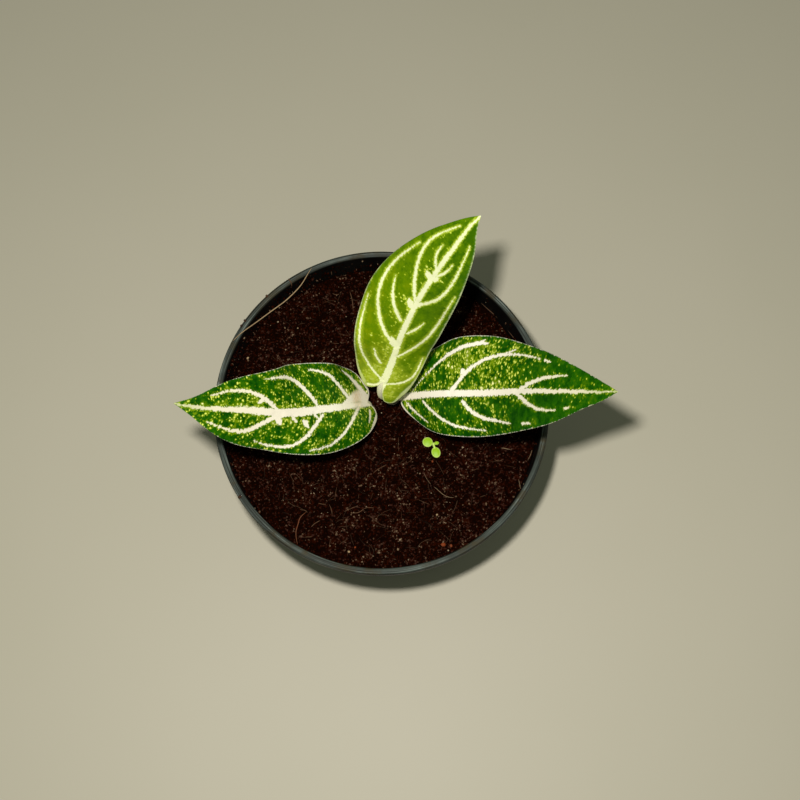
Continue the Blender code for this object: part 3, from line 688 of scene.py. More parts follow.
def blade_marks(leaf, name, along, side, margin, vein_width):
    """Half the midrib's width, and what the finish reads at each point of a blade: how deep it
    lies in the midrib and in the side veins, its distance from the edge less the margin's gain,
    how crowded the flecks are, how yellow the green is, how far along it is, and how pink."""
    vein = np.full(along.shape, OUTSIDE)
    for wide, line in VEINS[name]:
        band = band_depth(along, side, evenly(line, VEIN_POINTS), wide * vein_width / MM)
        vein = np.maximum(vein, band)
    share = np.clip(along / chord_length(leaf["midrib"]), 0.0, 1.0)
    midrib_half = np.interp(share, MIDRIB_PLACES, MIDRIB_HALF[name])
    midrib = midrib_half - np.abs(side)
    outside = np.minimum(np.maximum(vein, midrib), 0.0)
    left_flecks, right_flecks, beside, fewer = FLECKS[name][2:]
    speckle = np.where(side > 0.0, left_flecks, right_flecks)
    speckle = speckle - fewer * smooth_step(0.5, 0.8, share)
    speckle += beside * (np.exp(-(side / 3.5) ** 2) + np.exp(-outside ** 2))
    for *place, radius, much in PATCHES[name]:
        speckle += much * bell(along, side, place, radius)
    base, tip, left = SHADES[name]
    margin = margin - MARGIN_GAIN[name] * np.exp(-((along + 3.0) / 6.0) ** 2)
    margin = margin + np.where(side > 0.0, *MARGIN_LOSS[name]) * share ** 2
    *place, radius = BLUSHES.get(name, NO_BLUSH)
    return midrib_half, {
        "vein": vein, "midrib": midrib, "margin": margin, "speckle": speckle,
        "shade": base + (tip - base) * share + left * np.tanh(side / 6.0),
        "reach": share, "blush": bell(along, side, place, radius),
    }


def blade_surface(leaf, name, settings):
    """Closed blade. The upper and the lower sheet stand off the middle surface by half a
    thickness that falls to nothing at the edge, less a groove along each side vein and plus a
    cushion on the midrib. They share their edge, and close to one point at the tip."""
    rows = settings.blade_rows
    along, side, margin, shares, column = blade_grid(leaf, rows, settings.blade_columns)
    midrib_half, marks = blade_marks(leaf, name, along, side, margin, settings.vein_width)
    fade = smooth_step(0.0, 0.02, shares)[:, None] * np.sqrt(1.0 - shares ** 14)[:, None]
    body = 0.5 * settings.blade_thickness / MM * np.sqrt(1.0 - column ** 8) * fade
    groove = GROOVE_DEPTH * np.exp(-(np.minimum(marks["vein"], 0.0) / 0.7) ** 2) * fade
    cushion = np.clip(1.0 - (side / (midrib_half + 0.3)) ** 2, 0.0, 1.0)
    upper = blade_point(leaf, along, side, body - groove + CUSHION_HEIGHT * cushion * fade)
    lower = blade_point(leaf, along, side, -body - groove)

    slant, stretch = FLECKS[name][:2]
    apart = BLADES_APART * list(LEAVES).index(name)
    marks["plane"] = np.stack([along - slant * np.abs(side) + apart, side / stretch], axis=-1)
    inner = slice(1, -1)
    loop = np.concatenate([upper, lower[:, inner][:, ::-1]], axis=1)
    width, around = along.shape[1], loop.shape[1]
    index = np.arange((rows + 1) * around).reshape(rows + 1, around)
    index[0, width:] = index[0, inner][:width - 2][::-1]
    index[-1] = index[-1, 0]
    index = np.concatenate([index, index[:, :1]], axis=1)
    quads = np.stack([index[:-1, :-1], index[:-1, 1:], index[1:, 1:], index[1:, :-1]], axis=-1)
    tip = quads[-1][:, [0, 1, 3]]
    quads = quads[:-1].reshape(-1, 4)
    used, faces = np.unique(np.concatenate([quads.ravel(), tip.ravel()]), return_inverse=True)
    values = {key: np.concatenate([value, value[:, inner][:, ::-1]], axis=1)
              for key, value in marks.items()}
    values["under"] = np.concatenate([np.zeros(along.shape), np.ones((rows + 1, width - 2))],
                                     axis=1)
    values = {key: value.reshape(len(index) * around, -1)[used] for key, value in values.items()}
    return surface(loop.reshape(-1, 3)[used],
                   [faces[:quads.size].reshape(-1, 4), faces[quads.size:].reshape(-1, 3)],
                   **values)


def petiole_surface(leaf):
    """The petiole, and the keel that it becomes under the midrib: one rod that thins steadily,
    with its middle just under the blade from the midrib's start to near its tip."""
    thick, thin = leaf["petiole_radius"]
    keel_along = np.linspace(0.0, KEEL_END * chord_length(leaf["midrib"]), KEEL_POINTS)
    share = keel_along / keel_along[-1]
    keel_radius = thin * (1.0 - KEEL_TAPER * share) * np.sqrt(1.0 - 0.97 * share ** 6)
    middle, across, upward = blade_frame(leaf, keel_along)
    keel = middle - upward * (keel_radius - KEEL_RISE)[:, None]
    guide = [*leaf["petiole"], tuple(keel[0]), tuple(keel[4])]
    reach = chord_length(guide[:-1])
    places = np.linspace(0.0, reach, PETIOLE_POINTS)[:-1]
    petiole = smooth_curve(guide, places)[0]
    flat = np.cross(np.array([0.0, 0.0, 1.0]), smooth_curve(leaf["midrib"], 0.0)[1])
    turn = np.linspace(0.0, 1.0, len(places))[:, None]
    start = flat / np.linalg.norm(flat) * (1.0 - turn) + across[0] * turn
    paths = np.concatenate([petiole, keel])
    radii = np.concatenate([thick + (thin - thick) * places / reach, keel_radius])
    points, faces = rods(paths[None], radii[None], np.concatenate([start, across])[None],
                         PETIOLE_SIDES)
    run = np.concatenate([places - reach, keel_along])
    angle = 2.0 * np.pi * np.arange(PETIOLE_SIDES) / PETIOLE_SIDES
    plane = np.stack(np.broadcast_arrays(run[:, None], angle[None] * thin), axis=-1)
    whole = np.ones(len(points))
    return surface(points, faces, plane=plane.reshape(-1, 2), stalk=whole, under=whole,
                   vein=whole * OUTSIDE, midrib=whole * OUTSIDE, margin=-whole * OUTSIDE)


# Pot, soil and what lies on it

def inner_radius(height):
    """Radius of the pot's inner wall: a straight body and a steeper collar."""
    collar_foot = POT_HEIGHT - COLLAR_DEPTH
    body_top = RIM_RADIUS - LIP_OVERHANG - COLLAR_STEP - WALL
    body_foot = body_top - WALL_SLOPE * collar_foot
    heights = (0.0, collar_foot, POT_HEIGHT)
    return float(np.interp(height, heights, (body_foot, body_top, RIM_RADIUS - LIP_WIDTH)))


def arc(centre, radius, first_degrees, last_degrees, steps):
    """Points of a profile's rounded corner."""
    angles = np.radians(np.linspace(first_degrees, last_degrees, steps + 1))
    return [(centre[0] + radius * math.cos(a), centre[1] + radius * math.sin(a)) for a in angles]


def pot_profile(groove):
    """Profile of the pot from the axis under its base up the outer wall, over the lip, whose
    top carries fine rings, and down the inner wall to the axis."""
    collar_foot = POT_HEIGHT - COLLAR_DEPTH
    collar = RIM_RADIUS - LIP_OVERHANG
    collar_top = POT_HEIGHT - LIP_DEPTH - LIP_OVERHANG / 2.0
    foot = inner_radius(0.0) + WALL
    floor_top = FOOT_HEIGHT + FLOOR
    corner_top = floor_top + FLOOR_CORNER
    lip_round = LIP_WIDTH / 2.0
    lip_middle = (RIM_RADIUS - lip_round, POT_HEIGHT - lip_round)
    angles = np.radians(np.linspace(0.0, 180.0, LIP_STEPS + 1))
    ringed = lip_round - groove * (0.5 + 0.5 * np.cos(angles * LIP_RINGS)) * np.sin(angles)
    lip = np.stack([lip_middle[0] + ringed * np.cos(angles),
                    lip_middle[1] + ringed * np.sin(angles)], axis=-1)
    wall = inner_radius(collar_foot) + WALL
    return [
        (0.0, 0.0),
        (PAD_RADIUS - EDGE_EASE, 0.0),
        (PAD_RADIUS, EDGE_EASE),
        (PAD_RADIUS, FOOT_HEIGHT),
        (foot - FOOT_WIDTH, FOOT_HEIGHT),
        (foot - FOOT_WIDTH, EDGE_EASE),
        (foot - FOOT_WIDTH + EDGE_EASE, 0.0),
        (foot - EDGE_EASE, 0.0),
        *arc((foot - EDGE_EASE, FOOT_CORNER), FOOT_CORNER, -90.0, -8.0, 5),
        *[(inner_radius(h) + WALL, h) for h in np.linspace(2.0, collar_foot - 0.4, 30)],
        (wall + 0.2, collar_foot - 0.1),
        (collar - COLLAR_TAPER - 0.25, collar_foot + COLLAR_STEP - 0.35),
        (collar - COLLAR_TAPER, collar_foot + COLLAR_STEP),
        (collar - 0.1, collar_top - 0.4),
        (collar + 0.15, collar_top),
        (RIM_RADIUS - 0.25, POT_HEIGHT - LIP_DEPTH - 0.2),
        (RIM_RADIUS, POT_HEIGHT - LIP_DEPTH + 0.1),
        *lip.tolist(),
        (inner_radius(collar_foot), collar_foot),
        (inner_radius(corner_top), corner_top),
        *arc((inner_radius(floor_top) - FLOOR_CORNER, corner_top), FLOOR_CORNER, -10.0, -90.0, 5),
        (0.0, floor_top),
    ]


def cut_drains(piece):
    """Cuts the drain holes out of the pot's floor and keeps the cut mesh."""
    angles = 2.0 * np.pi * np.arange(DRAIN_COUNT) / DRAIN_COUNT
    top = 4.0 * FLOOR
    points, faces = turned_surface(
        [(0.0, -1.0), (DRAIN_RADIUS, -1.0), (DRAIN_RADIUS, top), (0.0, top)], DRAIN_STEPS)
    shift = DRAIN_CIRCLE * np.stack([np.cos(angles), np.sin(angles), 0.0 * angles], -1)
    whole = (points[None] + shift[:, None]).reshape(-1, 3) * MM
    polygons = [polygon for i in range(DRAIN_COUNT) for block in faces
                for polygon in (block + i * len(points)).tolist()]
    mesh = bpy.data.meshes.new("drains")
    mesh.from_pydata(whole.tolist(), [], polygons)
    drains = bpy.data.objects.new("drains", mesh)
    bpy.context.scene.collection.objects.link(drains)
    cut = piece.modifiers.new("drains", "BOOLEAN")
    cut.operation = "DIFFERENCE"
    cut.solver = "EXACT"
    cut.object = drains
    graph = bpy.context.evaluated_depsgraph_get()
    finished = bpy.data.meshes.new_from_object(piece.evaluated_get(graph))
    piece.modifiers.clear()
    piece.data = finished
    bpy.data.objects.remove(drains)


def soil_height(x, y):
    """Slow rise and fall of the soil's top, as a sum of crossed waves."""
    level = np.full(np.shape(x), SOIL_LEVEL)
    for height, length, heading, start in SOIL_WAVES:
        turn = math.radians(heading)
        reach = x * math.cos(turn) + y * math.sin(turn)
        level = level + height * np.sin(2.0 * math.pi * reach / length + start)
    return level


def soil_top(x, y):
    """Crumbled top of the soil and the tone of each grain: the slow waves, and on them clods
    and grains of three sizes, which fade at the pot's wall."""
    share = np.hypot(x, y) / inner_radius(SOIL_LEVEL)
    fade = 1.0 - smooth_step(SOIL_FADE, 1.0, share)
    relief = SWELL_HEIGHT * value_noise(x, y, SWELL_SIZE, 51)
    tone = 0.0
    for size, seed, height, weight, shift in SOIL_GRAINS:
        here, its_tone = grains(x + shift * value_noise(x, y, 1.5, 4), y, size, seed)
        relief = relief + height * here
        tone = tone + weight * its_tone
    return soil_height(x, y) + (relief - SWELL_HEIGHT) * fade, tone


def soil_surface(rows):
    """Soil that fills the pot: a square grid laid into the round by x = u sqrt(1 - v v / 2), with
    a crumbled top, straight sides a small gap inside the wall, and a flat base."""
    widest = inner_radius(SOIL_LEVEL) - GAP
    u, v = np.meshgrid(np.linspace(-1.0, 1.0, rows), np.linspace(-1.0, 1.0, rows))
    x = widest * u * np.sqrt(1.0 - v * v / 2.0)
    y = widest * v * np.sqrt(1.0 - u * u / 2.0)
    z, tone = soil_top(x, y)
    top = np.stack([x, y, z], axis=-1).reshape(-1, 3)
    index = np.arange(rows * rows).reshape(rows, rows)
    rim = np.concatenate([index[0, :-1], index[:-1, -1], index[-1, :0:-1], index[:0:-1, 0]])
    foot = FOOT_HEIGHT + FLOOR + GAP
    shoulder = foot + FLOOR_CORNER
    sides = (
        (inner_radius(POT_HEIGHT - COLLAR_DEPTH) - GAP, POT_HEIGHT - COLLAR_DEPTH - 0.5),
        (inner_radius(shoulder) - GAP, shoulder),
        (inner_radius(foot) - FLOOR_CORNER - GAP, foot),
    )
    way = top[rim, :2] / np.linalg.norm(top[rim, :2], axis=1, keepdims=True)
    rings = [np.concatenate([way * radius, np.full((len(rim), 1), height)], axis=1)
             for radius, height in sides]
    points = np.concatenate([top, *rings, [(0.0, 0.0, foot)]])
    starts = [rim] + [rows * rows + i * len(rim) + np.arange(len(rim)) for i in range(3)]
    walls = [np.stack([a, b, np.roll(b, -1), np.roll(a, -1)], axis=-1)
             for a, b in zip(starts[:-1], starts[1:])]
    base = fan(len(points) - 1, starts[-1])[:, [0, 2, 1]]
    tones = np.concatenate([tone.ravel(), np.full(len(points) - rows * rows, SOIL_SIDE_TONE)])
    return surface(points, [grid_quads(rows, rows), *walls, base], tone=tones)


def lump_shape():
    """Corners and faces of an icosahedron of radius 1."""
    golden = (1.0 + math.sqrt(5.0)) / 2.0
    corners = np.array([(-1, golden, 0), (1, golden, 0), (-1, -golden, 0), (1, -golden, 0),
                        (0, -1, golden), (0, 1, golden), (0, -1, -golden), (0, 1, -golden),
                        (golden, 0, -1), (golden, 0, 1), (-golden, 0, -1), (-golden, 0, 1)])
    faces = np.array([(0, 11, 5), (0, 5, 1), (0, 1, 7), (0, 7, 10), (0, 10, 11), (1, 5, 9),
                      (5, 11, 4), (11, 10, 2), (10, 7, 6), (7, 1, 8), (3, 9, 4), (3, 4, 2),
                      (3, 2, 6), (3, 6, 8), (3, 8, 9), (4, 9, 5), (2, 4, 11), (6, 2, 10),
                      (8, 6, 7), (9, 8, 1)])
    return corners / np.linalg.norm(corners[0]), faces


def lumps(places, sizes, tones, dice):
    """Angular lumps: one twenty-faced shape per place, with its corners pushed in and out, made
    longer one way than another and turned at random."""
    corners, faces = lump_shape()
    count = len(places)
    axes = dice.normal(size=(count, 3, 3))
    axes[:, 0] /= np.linalg.norm(axes[:, 0], axis=1, keepdims=True)
    axes[:, 1] -= axes[:, 0] * (axes[:, 1] * axes[:, 0]).sum(1, keepdims=True)
    axes[:, 1] /= np.linalg.norm(axes[:, 1], axis=1, keepdims=True)
    axes[:, 2] = np.cross(axes[:, 0], axes[:, 1])
    shape = corners[None] * dice.uniform(*LUMP_CORNERS, (count, len(corners), 1))
    shape = shape * dice.uniform(*LUMP_LENGTHS, (count, 1, 3))
    shape = np.einsum("nvi,nij->nvj", shape, axes) * (0.5 * sizes)[:, None, None]
    points = shape + places[:, None]
    index = faces[None] + len(corners) * np.arange(count)[:, None, None]
    return surface(points, [index.reshape(-1, 3)], tone=np.repeat(tones, len(corners)))


def skewed(dice, count, least, span, power):
    """Random numbers from least to least + span, the rarer the larger."""
    return least + span * dice.uniform(0.0, 1.0, count) ** power


def scattered_lumps(count, dice):
    """Loose crumbs over the whole soil, each sunk about a third of its size into it."""
    radius = (inner_radius(SOIL_LEVEL) - CRUMB_INSET) * np.sqrt(dice.uniform(0.0, 1.0, count))
    turn = dice.uniform(0.0, 2.0 * np.pi, count)
    x, y = radius * np.cos(turn), radius * np.sin(turn)
    sizes = skewed(dice, count, *CRUMB_SIZES)
    places = np.stack([x, y, soil_top(x, y)[0] + CRUMB_LIFT * sizes], axis=-1)
    tones = skewed(dice, count, *CRUMB_TONES)
    sizes = np.where(tones > PALE_TONE, np.minimum(sizes, PALE_SIZE), sizes)
    return lumps(places, sizes, tones, dice)


def wall_crumbs(count, dice):
    """Crumbs that cling to the inner wall above the soil: headings drawn from a bell curve
    round one angle, and some from anywhere, fewer the higher they are."""
    angle, spread, anywhere = WALL_CRUMBS
    turn = np.radians(dice.normal(angle, spread, count))
    turn = np.where(dice.uniform(0.0, 1.0, count) < anywhere,
                    dice.uniform(0.0, 2.0 * np.pi, count), turn)
    sizes = skewed(dice, count, *WALL_CRUMB_SIZES)
    room = POT_HEIGHT - WALL_CRUMB_TOP - SOIL_LEVEL
    height = skewed(dice, count, SOIL_LEVEL, room, WALL_CRUMB_POWER)
    heights = (SOIL_LEVEL, POT_HEIGHT)
    radius = np.interp(height, heights, [inner_radius(h) for h in heights]) - 0.25 * sizes
    places = np.stack([radius * np.cos(turn), radius * np.sin(turn), height], axis=-1)
    return lumps(places, sizes, skewed(dice, count, *WALL_CRUMB_TONES), dice)


def scattered_fibres(count, dice):
    """Short fibres that lie on the soil: each a gently bowed line, with its height read from the
    soil under it, as a three-sided rod that thins to its ends."""
    share = np.linspace(-0.5, 0.5, FIBRE_POINTS)
    length = dice.uniform(*FIBRE_LENGTHS, (count, 1))
    bow = dice.normal(0.0, FIBRE_BOW, (count, 1)) * length
    turn = dice.uniform(0.0, 2.0 * np.pi, (count, 1))
    far = (inner_radius(SOIL_LEVEL) - FIBRE_INSET) * np.sqrt(dice.uniform(0.0, 1.0, (count, 1)))
    spin = dice.uniform(0.0, 2.0 * np.pi, (count, 1))
    u, v = length * share, bow * (0.25 - share ** 2)
    x = far * np.cos(spin) + u * np.cos(turn) - v * np.sin(turn)
    y = far * np.sin(spin) + u * np.sin(turn) + v * np.cos(turn)
    thick = dice.uniform(*FIBRE_THICKNESSES, (count, 1))
    rough = soil_top(x, y)[0]
    z = 0.5 * rough + 0.5 * rough.mean(axis=1, keepdims=True) + thick
    paths = np.stack([x, y, z], axis=-1)
    radii = 0.5 * thick * (1.0 - 0.8 * (2.0 * np.abs(share)) ** 4)
    up = np.broadcast_to(np.array([0.0, 0.0, 1.0]), paths.shape)
    points, faces = rods(paths, radii, np.cross(up, np.gradient(paths, axis=1)), 3)
    tones = dice.uniform(*FIBRE_TONES, count)
    return surface(points, faces, tone=np.repeat(tones, 3 * FIBRE_POINTS))


def single_fibre(line, thick, tone):
    """One fibre along a smooth curve: on the soil where only x and y are given."""
    path = evenly(line, LONG_FIBRE_POINTS)
    if path.shape[1] == 2:
        height = soil_top(path[:, 0], path[:, 1])[0]
        height = np.convolve(np.pad(height, 3, mode="edge"), np.ones(7) / 7.0, mode="valid")
        path = np.concatenate([path, height[:, None] + 0.5 * thick], axis=1)
    share = np.linspace(-1.0, 1.0, len(path))
    radii = 0.5 * thick * (1.0 - 0.75 * np.abs(share) ** 5)
    start = np.cross(np.array([0.0, 0.0, 1.0]), np.gradient(path, axis=0))
    points, faces = rods(path[None], radii[None], start[None], LONG_FIBRE_SIDES)
    return surface(points, faces, tone=np.full(len(points), tone))


# Stem and seedling

def stem_surface():
    """Short stem: a turned profile with a rounded raised ring at each leaf scar and a bud."""
    foot, top = SOIL_LEVEL - STEM_BURIED, SOIL_LEVEL + STEM_TOP
    bud = np.array([(STEM_RADIUS * share, top - depth) for share, depth in STEM_BUD])
    tip = smooth_curve(bud, np.linspace(0.0, chord_length(bud), 14))[0]
    tip[0] = (0.0, top)
    ends = (foot + 4.0, top - 3.4)
    heights = np.linspace(*ends[::-1], STEM_POINTS)
    radius = np.full(STEM_POINTS, STEM_RADIUS) * np.interp(heights, ends, (1.0, 0.97))
    for scar in STEM_SCARS:
        radius += SCAR_RISE * np.exp(-((heights - SOIL_LEVEL - scar) / (0.6 * SCAR_HEIGHT)) ** 2)
    body = np.stack([radius, heights], axis=-1)
    end = [(wide, foot + height) for wide, height in STEM_FOOT]
    points, faces = turned_surface(np.concatenate([tip, body, end]), STEM_STEPS)
    points = points + np.array([*STEM_PLACE, 0.0])
    scar = np.zeros(len(points))
    for height in STEM_SCARS:
        scar += np.exp(-((points[:, 2] - SOIL_LEVEL - height) / SCAR_HEIGHT) ** 2)
    return surface(points, faces, scar=scar)


def seed_leaf_surface(middle, half_length, half_width, heading):
    """Small oval leaf: rings about its middle, a cupped rim, and two sheets that meet there."""
    rings, steps = SEED_LEAF_GRID
    share = np.linspace(0.0, 1.0, rings + 1)[1:, None]
    angle = 2.0 * np.pi * np.arange(steps)[None] / steps
    x, y = share * np.cos(angle), share * np.sin(angle)
    dome = 0.35 * share ** 2 - 0.12 * np.exp(-(y / 0.12) ** 2)
    body = SEED_LEAF_HALF * np.sqrt(1.0 - share ** 6) + 0.0 * angle
    turn = math.radians(heading)
    px, py = x * half_length, y * half_width
    upper, lower = (np.stack([px * math.cos(turn) - py * math.sin(turn),
                              px * math.sin(turn) + py * math.cos(turn),
                              -SEED_LEAF_DOME * share ** 2 + 0.1 * dome + sign * body], axis=-1)
                    for sign in (1.0, -1.0))
    points = np.concatenate([upper.reshape(-1, 3), lower[:-1].reshape(-1, 3),
                             [(0.0, 0.0, SEED_LEAF_HALF), (0.0, 0.0, -SEED_LEAF_HALF)]])
    points += np.array(middle) + np.array([*SEEDLING_PLACE, SOIL_LEVEL])
    around = np.arange(steps)
    first = rings * steps
    poles = len(points) - 2
    upper_rim, lower_rim = first - steps + around, first + (rings - 2) * steps + around
    joint = np.stack([upper_rim, np.roll(upper_rim, -1), np.roll(lower_rim, -1), lower_rim],
                     axis=-1)[:, ::-1]
    faces = [grid_quads(rings, steps, wrap_columns=True)[:, ::-1],
             grid_quads(rings - 1, steps, wrap_columns=True, start=first), joint,
             fan(poles, around), fan(poles + 1, first + around)[:, [0, 2, 1]]]
    rim = np.concatenate([np.repeat(share, steps), np.repeat(share[:-1], steps), [0.0, 0.0]])
    return surface(points, faces, rim=rim)


def seedling_surfaces():
    """Seedling: an upright stem, a stalk to each leaf, and the leaves."""
    foot = np.array([*SEEDLING_PLACE, SOIL_LEVEL])
    lines = [([(0.0, 0.0, height) for height in SEEDLING_HEIGHTS], SEEDLING_STEM, SEEDLING_STEM)]
    for (x, y, z), _, _, _ in SEED_LEAVES:
        lines.append(([(0.0, 0.0, STALK_FORK), (0.45 * x, 0.45 * y, 2.2),
                       (STALK_REACH * x, STALK_REACH * y, z - STALK_DROP)], *STALK_RADII))
    pieces = []
    for line, thick, thin in lines:
        path = evenly(line, STALK_POINTS) + foot
        start = np.broadcast_to(np.array([0.31, 0.95, 0.05]), path.shape)
        points, faces = rods(path[None], np.linspace(thick, thin, STALK_POINTS)[None],
                             start[None], STALK_SIDES)
        pieces.append(surface(points, faces, stalk=np.ones(len(points))))
    return pieces + [seed_leaf_surface(*leaf) for leaf in SEED_LEAVES]


# Finishes

def per(size):
    """Scale of a pattern whose size is given in millimetres, on a piece's own coordinates."""
    return 1.0 / (size * MM)


def new_finish(name):
    """Empty node material, and the function that adds nodes to it."""
    finish = bpy.data.materials.new(name)
    finish.use_nodes = True
    finish.node_tree.nodes.clear()
    return finish, functools.partial(put, finish.node_tree)


# For a kind of node: the inputs that its values go to, in order, the output that is read and
# its usual settings. Other kinds take their first inputs and give their first output.
NODE_USES = {
    "Attribute": ((), 2, {}),
    "BsdfPrincipled": (("Base Color", "Roughness", "IOR", "Specular IOR Level", "Normal"), 0, {}),
    "Bump": (("Height", "Strength", "Distance"), 0, {}),
    "HueSaturation": (("Color", "Value"), 0, {}),
    "Mapping": (("Vector", "Scale"), 0, {}),
    "Mix": ((0, 6, 7), 2, {"data_type": "RGBA"}),
    "TexCoord": ((), 3, {}),
    "TexNoise": (("Vector", "Scale", "Detail", "Roughness"), 0, {}),
    "TexVoronoi": (("Vector", "Scale"), 0, {}),
}


def put(tree, kind, *values, out=None, stops=(), **settings):
    """Adds a node, whose kind may be followed by its operation, with its inputs set or linked,
    its settings and the stops of its ramp, and returns one of its outputs."""
    kind, _, operation = kind.partition(" ")
    places, usual_out, usual_settings = NODE_USES.get(kind, (range(len(values)), 0, {}))
    node = tree.nodes.new("ShaderNode" + kind)
    if operation:
        node.operation = operation
    for name, value in {**usual_settings, **settings}.items():
        setattr(node, name, value)
    for place, value in zip(places, values):
        if isinstance(value, bpy.types.NodeSocket):
            tree.links.new(value, node.inputs[place])
        else:
            node.inputs[place].default_value = value
    for _ in stops[2:]:
        node.color_ramp.elements.new(1.0)
    for i, (place, colour) in enumerate(stops):
        node.color_ramp.elements[i].position = place
        node.color_ramp.elements[i].color = colour
    return node.outputs[usual_out if out is None else out] if node.outputs else None


def close_finish(add, colour, roughness, ior, gloss, relief, strength, depth):
    """Ends a finish with its shader, over bumps that follow a relief and are a depth in
    millimetres high at strength 1."""
    bump = add("Bump", relief, strength, depth * MM)
    add("OutputMaterial", add("BsdfPrincipled", colour, roughness, ior, gloss, bump))


def leaf_finish(name, tones, halo_colour, fleck_colours, pale_tones, soft, lift, settings):
    """Leaf cuticle: a thin waxy skin with a soft sheen over green tissue."""
    # Pale veins, midrib and margin with torn edges; between them pale flecks, each in a halo
    # of yellower green, small ones everywhere and larger ones where they crowd. The tissue is
    # made paler towards the base, by lift: painted light on the steep bases that the lamp leaves
    # in shade. The pattern runs in millimetres on the flattened blade, and soft blurs its marks.
    finish, add = new_finish(name)
    plane = add("UVMap", uv_map="plane")
    vein, midrib, margin, speckle, shade, under, stalk, reach, blush = (
        add("Attribute", attribute_name=key)
        for key in ("vein", "midrib", "margin", "speckle", "shade", "under", "stalk", "reach",
                    "blush"))
    torn = add("TexNoise", plane, 1.05, 3.0, 0.68)
    bent = add("VectorMath SUBTRACT", torn.node.outputs[1], (0.5, 0.5, 0.5))
    bent = add("VectorMath MULTIPLY_ADD", bent, (1.2, 1.2, 1.2), plane)
    torn = add("Math SUBTRACT", torn, 0.5)
    cloud = add("Math SUBTRACT", add("TexNoise", plane, 0.3, 2.0), 0.5)
    crowd = add("Math MULTIPLY_ADD", cloud, 1.3, speckle)
    green = add("Math MULTIPLY_ADD", cloud, 1.1, shade)
    green = add("Math MULTIPLY_ADD", torn, 0.8, green)
    colour = add("ValToRGB", green, stops=tones)

    # Flecks: a cell's fleck grows with how crowded the place is, less the cell's own chance
    for (size, least, span, largest), fleck_colour in zip(FLECK_SIZES, fleck_colours):
        cells = add("TexVoronoi", bent, 1.0 / size)
        room = add("Math SUBTRACT", crowd, add("SeparateColor", cells.node.outputs[1]))
        radius = add("MapRange", room, least, least + span, 0.0, largest)
        core = add("MapRange", cells, radius, add("Math SUBTRACT", radius, 0.17))
        halo = add("MapRange", cells, add("Math MULTIPLY_ADD", radius, 1.3, 0.28), radius)
        halo = add("Math MULTIPLY", halo, add("MapRange", radius, 0.0, 0.12))
        colour = add("Mix", halo, colour, halo_colour)
        colour = add("Mix", core, colour, fleck_colour)
    # Painted light: the tissue's value is raised towards the base by lift, where the steep blade
    # lies in shade.
    gain = add("MapRange", reach, 0.0, 0.6, 1.0 + lift, 1.0)
    colour = add("HueSaturation", colour, gain)

    # Pale bands: the margin, then a fringe and the core of the veins and the midrib
    flush = add("Math MULTIPLY_ADD", torn, 2.0, blush)
    flush = add("MapRange", flush, 0.45, 1.3, 0.0, 0.8)
    # The pale colour runs by reach: its paler base stops are partly painted light on the steep,
    # shaded bases; its browner tips are the veins' own colour.
    pale = add("Mix", flush, add("ValToRGB", reach, stops=pale_tones), settings.blush)
    edge = add("MapRange", add("Math MULTIPLY_ADD", torn, 1.4, margin),
               settings.margin_width / MM + 2.0 * soft, 0.05, 0.0, 1.0 - 2.0 * soft,
               interpolation_type="SMOOTHSTEP")
    colour = add("Mix", edge, colour, pale)
    line = add("Math MAXIMUM", vein, midrib)
    line = add("Math MULTIPLY_ADD", torn, 2.4 - 4.0 * soft, line)
    wash = add("Math MULTIPLY_ADD", crowd, 1.0 + soft, -1.75)
    start = add("MapRange", reach, 0.0, 0.45, -0.6 - 9.0 * soft, -0.6 - soft)
    fringe = add("MapRange", add("Math MAXIMUM", line, wash), start, 0.0, 0.0, 0.75,
                 interpolation_type="SMOOTHSTEP")
    colour = add("Mix", fringe, colour, halo_colour)
    low = add("Math MULTIPLY_ADD", blush, -1.3, -0.16 - 0.3 * soft)
    high = add("Math MULTIPLY_ADD", blush, 0.9, 0.12 + 0.4 * soft)
    core = add("MapRange", line, low, high, interpolation_type="SMOOTHSTEP")
    colour = add("Mix", core, colour, pale)

    # The underside is duller, and the petiole is pale with faint streaks
    colour = add("Mix", under, colour, add("Mix", 0.55, colour, settings.under))
    streak = add("TexNoise", add("Mapping", plane, (0.15, 1.6, 1.0)), 1.0, 3.0)
    colour = add("Mix", stalk, colour, add("Mix", streak, settings.stalk, settings.stalk_streak))
    skin = add("TexNoise", plane, 3.0, 2.0)
    close_finish(add, colour, 0.36, 1.42, 0.08, skin, 0.25, 0.15)
    return finish


